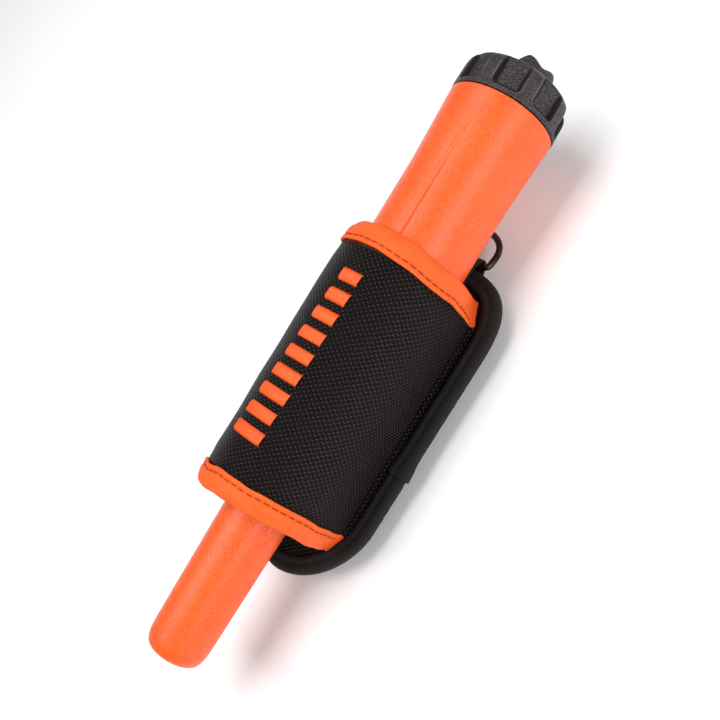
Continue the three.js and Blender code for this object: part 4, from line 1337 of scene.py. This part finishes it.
def add_trims():
    add_trim(
        "mouth_trim", "upper_trim",
        [(147.4, -0.6), (146.95, -0.2), (146.9, 0.2), (147.2, 0.55), (148.1, 0.6), (148.75, 0.2),
         (149.2, 0.2), (150.2, 0.5), (152, 0.5), (154, 0.4), (155.3, 0.2), (156.25, -0.5), (156.4, -1.4),
         (156.0, -2.2), (155.4, -2.5, 0), (155.2, 0, 0), (151, 0, 0), (147.4, 0, 0)],
        [(147, SLEEVE_OUTER, SEAM_X, 22), (150.1, 23.5, 18.9, 19.9), (153.1, 22.8, 17.3, 18.2),
         (155.1, 21.9, 16.9, 17.8), (156, 21.4, 16.5, 17.4)],
        [(-120, 1.2), (-26, 1.1), (12, 1.0), (45, 0.1), (79, -0.9), (120, -0.6)],
        [(-120, 0.2), (-27, 0.1), (28, 0.0), (47, -0.6), (74, -1.4), (120, -1.2)], 148.95, 0.3, 11)
    add_trim(
        "foot_trim", "lower_trim",
        [(64.0, -0.6), (64.5, -0.2), (64.6, 0.2), (64.3, 0.55), (63.4, 0.6), (62.8, 0.2), (62.4, 0.2),
         (61.4, 0.5), (60, 0.5), (58.6, 0.4), (57.3, 0.1), (56.7, -0.6), (56.6, -1.6), (57.0, -2.8),
         (57.6, -3.4, 0), (58.2, 0, 0), (60.5, 0, 0), (64.0, 0, 0)],
        [(56.6, 23.2, 16.9, 17.8), (60, SLEEVE_OUTER, 18.6, 19.6), (64.1, SLEEVE_OUTER, 20.3, 21.3)],
        [(-120, -0.6), (-18, -0.4), (17, 0.8), (45, 1.2), (74, 1.2), (120, 0.0)],
        [(-120, -1.2), (-42, -1.2), (-32, -0.4), (-25, -1.2), (-17, -0.6), (-10, 0.1), (18, 0.6), (45, 1.0),
         (74, 0.9), (120, -0.3)], 62.6, 0.3, 23)


def add_bars():
    """Satin-stitched bars, each shorter than the last, as a plain picture of a fading signal."""
    first, last, count, width = 79.2, 136.8, 9, 4.6
    base, longest, shortest = 15.0, 33.0, 19.0
    build = Build()
    for k in range(count):
        middle = first + (last - first) * k / (count - 1)
        reach = longest + (shortest - longest) * k / (count - 1)
        for azimuth in np.arange(base - reach, base, 0.95):
            place = np.linspace(-1, 1, 9)
            station = middle + place * width / 2 + 0.12 * math.sin(azimuth * 9.0)
            radius = SLEEVE_OUTER - 0.4 + 0.85 * (1 - place**6)
            centre = around(radius, azimuth + 0.35 * place, station)
            out = around(1.0, azimuth + 0 * place, station) - around(0.0, azimuth + 0 * place, station)
            across = around(1.0, azimuth + 90 + 0 * place, station) - around(0.0, azimuth, station)
            turn = np.arange(8) * math.pi / 4
            section = np.stack([0.25 * np.cos(turn), 0.2 * np.sin(turn)], 1)
            uv = cloth_uv(np.linspace(0, 0.4, 9), station)
            build.grid(swept(centre, across, out, section), close_j=True, uv=uv, ends=True)
    build.piece("embroidered_bars", "holster", "orange_nylon", material=SATIN_THREAD)


add_lining()
add_sleeve()
add_trims()
add_bars()

# ---------------------------------------------------------------- the belt loop, the ring and its tab

SEAM_MARGIN = 1.2      # from a strap's edge to the end of its row of stitches

def strap_grid(build, path, half, thick):
    """Webbing of that half width and thickness, laid along a path of (station, z) points."""
    tangent = unit(np.gradient(path, axis=0))
    line = np.column_stack([0 * path[:, 0], at(path[:, 0]), path[:, 1]])
    up = np.column_stack([0 * path[:, 0], -tangent[:, 1], tangent[:, 0]])
    across = np.tile([1.0, 0.0, 0.0], (len(path), 1))
    edge = thick / 2
    loop = rounded([(-half, -edge), (half, -edge), (half, edge), (-half, edge)], edge * 0.9, 4, closed=True)
    loop = refined(1.6, np.concatenate([loop, loop[:1]]))[0][:-1]
    uv = cloth_uv(lengths(np.concatenate([loop, loop[:1]])), lengths(path))
    return build.grid(swept(line, across, up, loop), close_j=True, uv=uv, ends=True)


def sewn_across(build, half, place, height, up, points, length, thread):
    """A row of stitches across a strap of that half width."""
    x = np.linspace(SEAM_MARGIN - half, half - SEAM_MARGIN, points)
    line = np.column_stack([x, np.full(points, at(place)), np.full(points, height)])
    sewn(build, line, np.tile([0.0, 0.0, up], (points, 1)), length, 0.6, thread, 0.0)


def add_strap(strap, rows, name, rows_name, node):
    """Finishes a strap and the rows of stitches that hold it."""
    made = strap.piece(name, "holster", "webbing", node, crease=60)
    seams = rows.piece(rows_name, "holster", "webbing", material=BLACK_THREAD)


def add_belt_loop():
    low, high = corners("belt_loop")
    thick, (start, end) = 1.8, stations("belt_loop")
    foot, lie = high[2] - thick / 2, low[2] + thick / 2
    path = rounded([
        (start, foot), (start + 4.6, foot, 2), (start + 7.4, lie, 3), (end - 7.4, lie, 3),
        (end - 4.6, foot, 2), (end, foot)], 0, 8)
    path = refined(1.0, path)[0]
    sway = smooth(start + 9, start + 24, path[:, 0]) * (1 - smooth(end - 24, end - 9, path[:, 0]))
    path[:, 1] += 0.35 * sway
    seams = Build()
    for place in (start + 1.2, start + 3.0, end - 1.2, end - 3.0):
        sewn_across(seams, high[0], place, high[2] - thick, -1.0, 30, 2.2, 0.25)
    strap = strap_grid(Build(), path, high[0], thick)
    add_strap(strap, seams, "loop_strap", "loop_stitches", "belt_loop")


def add_ring_tab():
    low, high = corners("ring_tab")
    thick, (tail, nose) = 0.9, stations("ring_tab")
    back, front = low[2] + thick / 2, high[2] - thick / 2
    path = rounded([
        (tail, back), (nose - 4.2, back, 1.5), (nose - 1.6, 7.7, 1.2), (nose - 0.3, 8.7, 0.8),
        (nose - 0.3, 10.6, 0.8), (nose - 1.6, 11.6, 1.2), (nose - 4.2, front, 1.5), (tail, front)], 0, 6)
    path = refined(0.7, path)[0]
    seams = Build()
    for side, height in ((1.0, high[2]), (-1.0, low[2])):
        for place in (tail + 1.2, tail + 5.4):
            sewn_across(seams, high[0], place, height, side, 16, 2.0, 0.22)
    strap = strap_grid(Build(), path, high[0], thick)
    add_strap(strap, seams, "ring_strap", "tab_stitches", "ring_tab")


def add_ring():
    """A wire ring bent to a D. Its straight bar lies in the tab and it droops about it."""
    base, height, wire, half, rise, arm, droop = 168.0, 9.65, 1.2, 11.2, 8.8, 4.4, 10.0
    turn = np.linspace(0, math.pi, 41)
    bow = np.stack([half * np.cos(turn), arm + rise * np.sin(turn)], 1)
    loop = rounded([(half, 0, 1.9), *[(x, y, 0) for x, y in bow], (-half, 0, 1.9)], 0, 8, closed=True)
    loop = refined(0.6, np.concatenate([loop, loop[:1]]))[0][:-1]
    ahead = unit(np.roll(loop, -1, 0) - np.roll(loop, 1, 0))
    lean = math.radians(droop)
    tilt = np.array([[1, 0, 0], [0, math.cos(lean), -math.sin(lean)], [0, math.sin(lean), math.cos(lean)]])
    line = np.column_stack([loop, 0 * loop[:, 0]]) @ tilt + (0, at(base), height)
    across = np.column_stack([ahead[:, 1], -ahead[:, 0], 0 * ahead[:, 0]]) @ tilt
    up = np.tile(np.array([0.0, 0.0, 1.0]) @ tilt, (len(line), 1))
    turn = np.arange(20) * 2 * math.pi / 20
    joint = 1 + 0.06 * np.exp(-((line[:, 0] / 1.1) ** 2)) * (loop[:, 1] < 1)
    section = np.stack([wire * np.cos(turn), wire * np.sin(turn)], 1)
    points = line[:, None] + joint[:, None, None] * (swept(line, across, up, section) - line[:, None])
    Build().grid(points, close_i=True, close_j=True).piece("wire_ring", "d_ring", "black_steel", "d_ring")


add_belt_loop()
add_ring_tab()
add_ring()

# ---------------------------------------------------------------- the nodes that stay, and the end


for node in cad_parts.values():
    for place, material in enumerate(node.data.materials):
        if material.name in FINISHES:
            node.data.materials[place] = FINISHES[material.name]
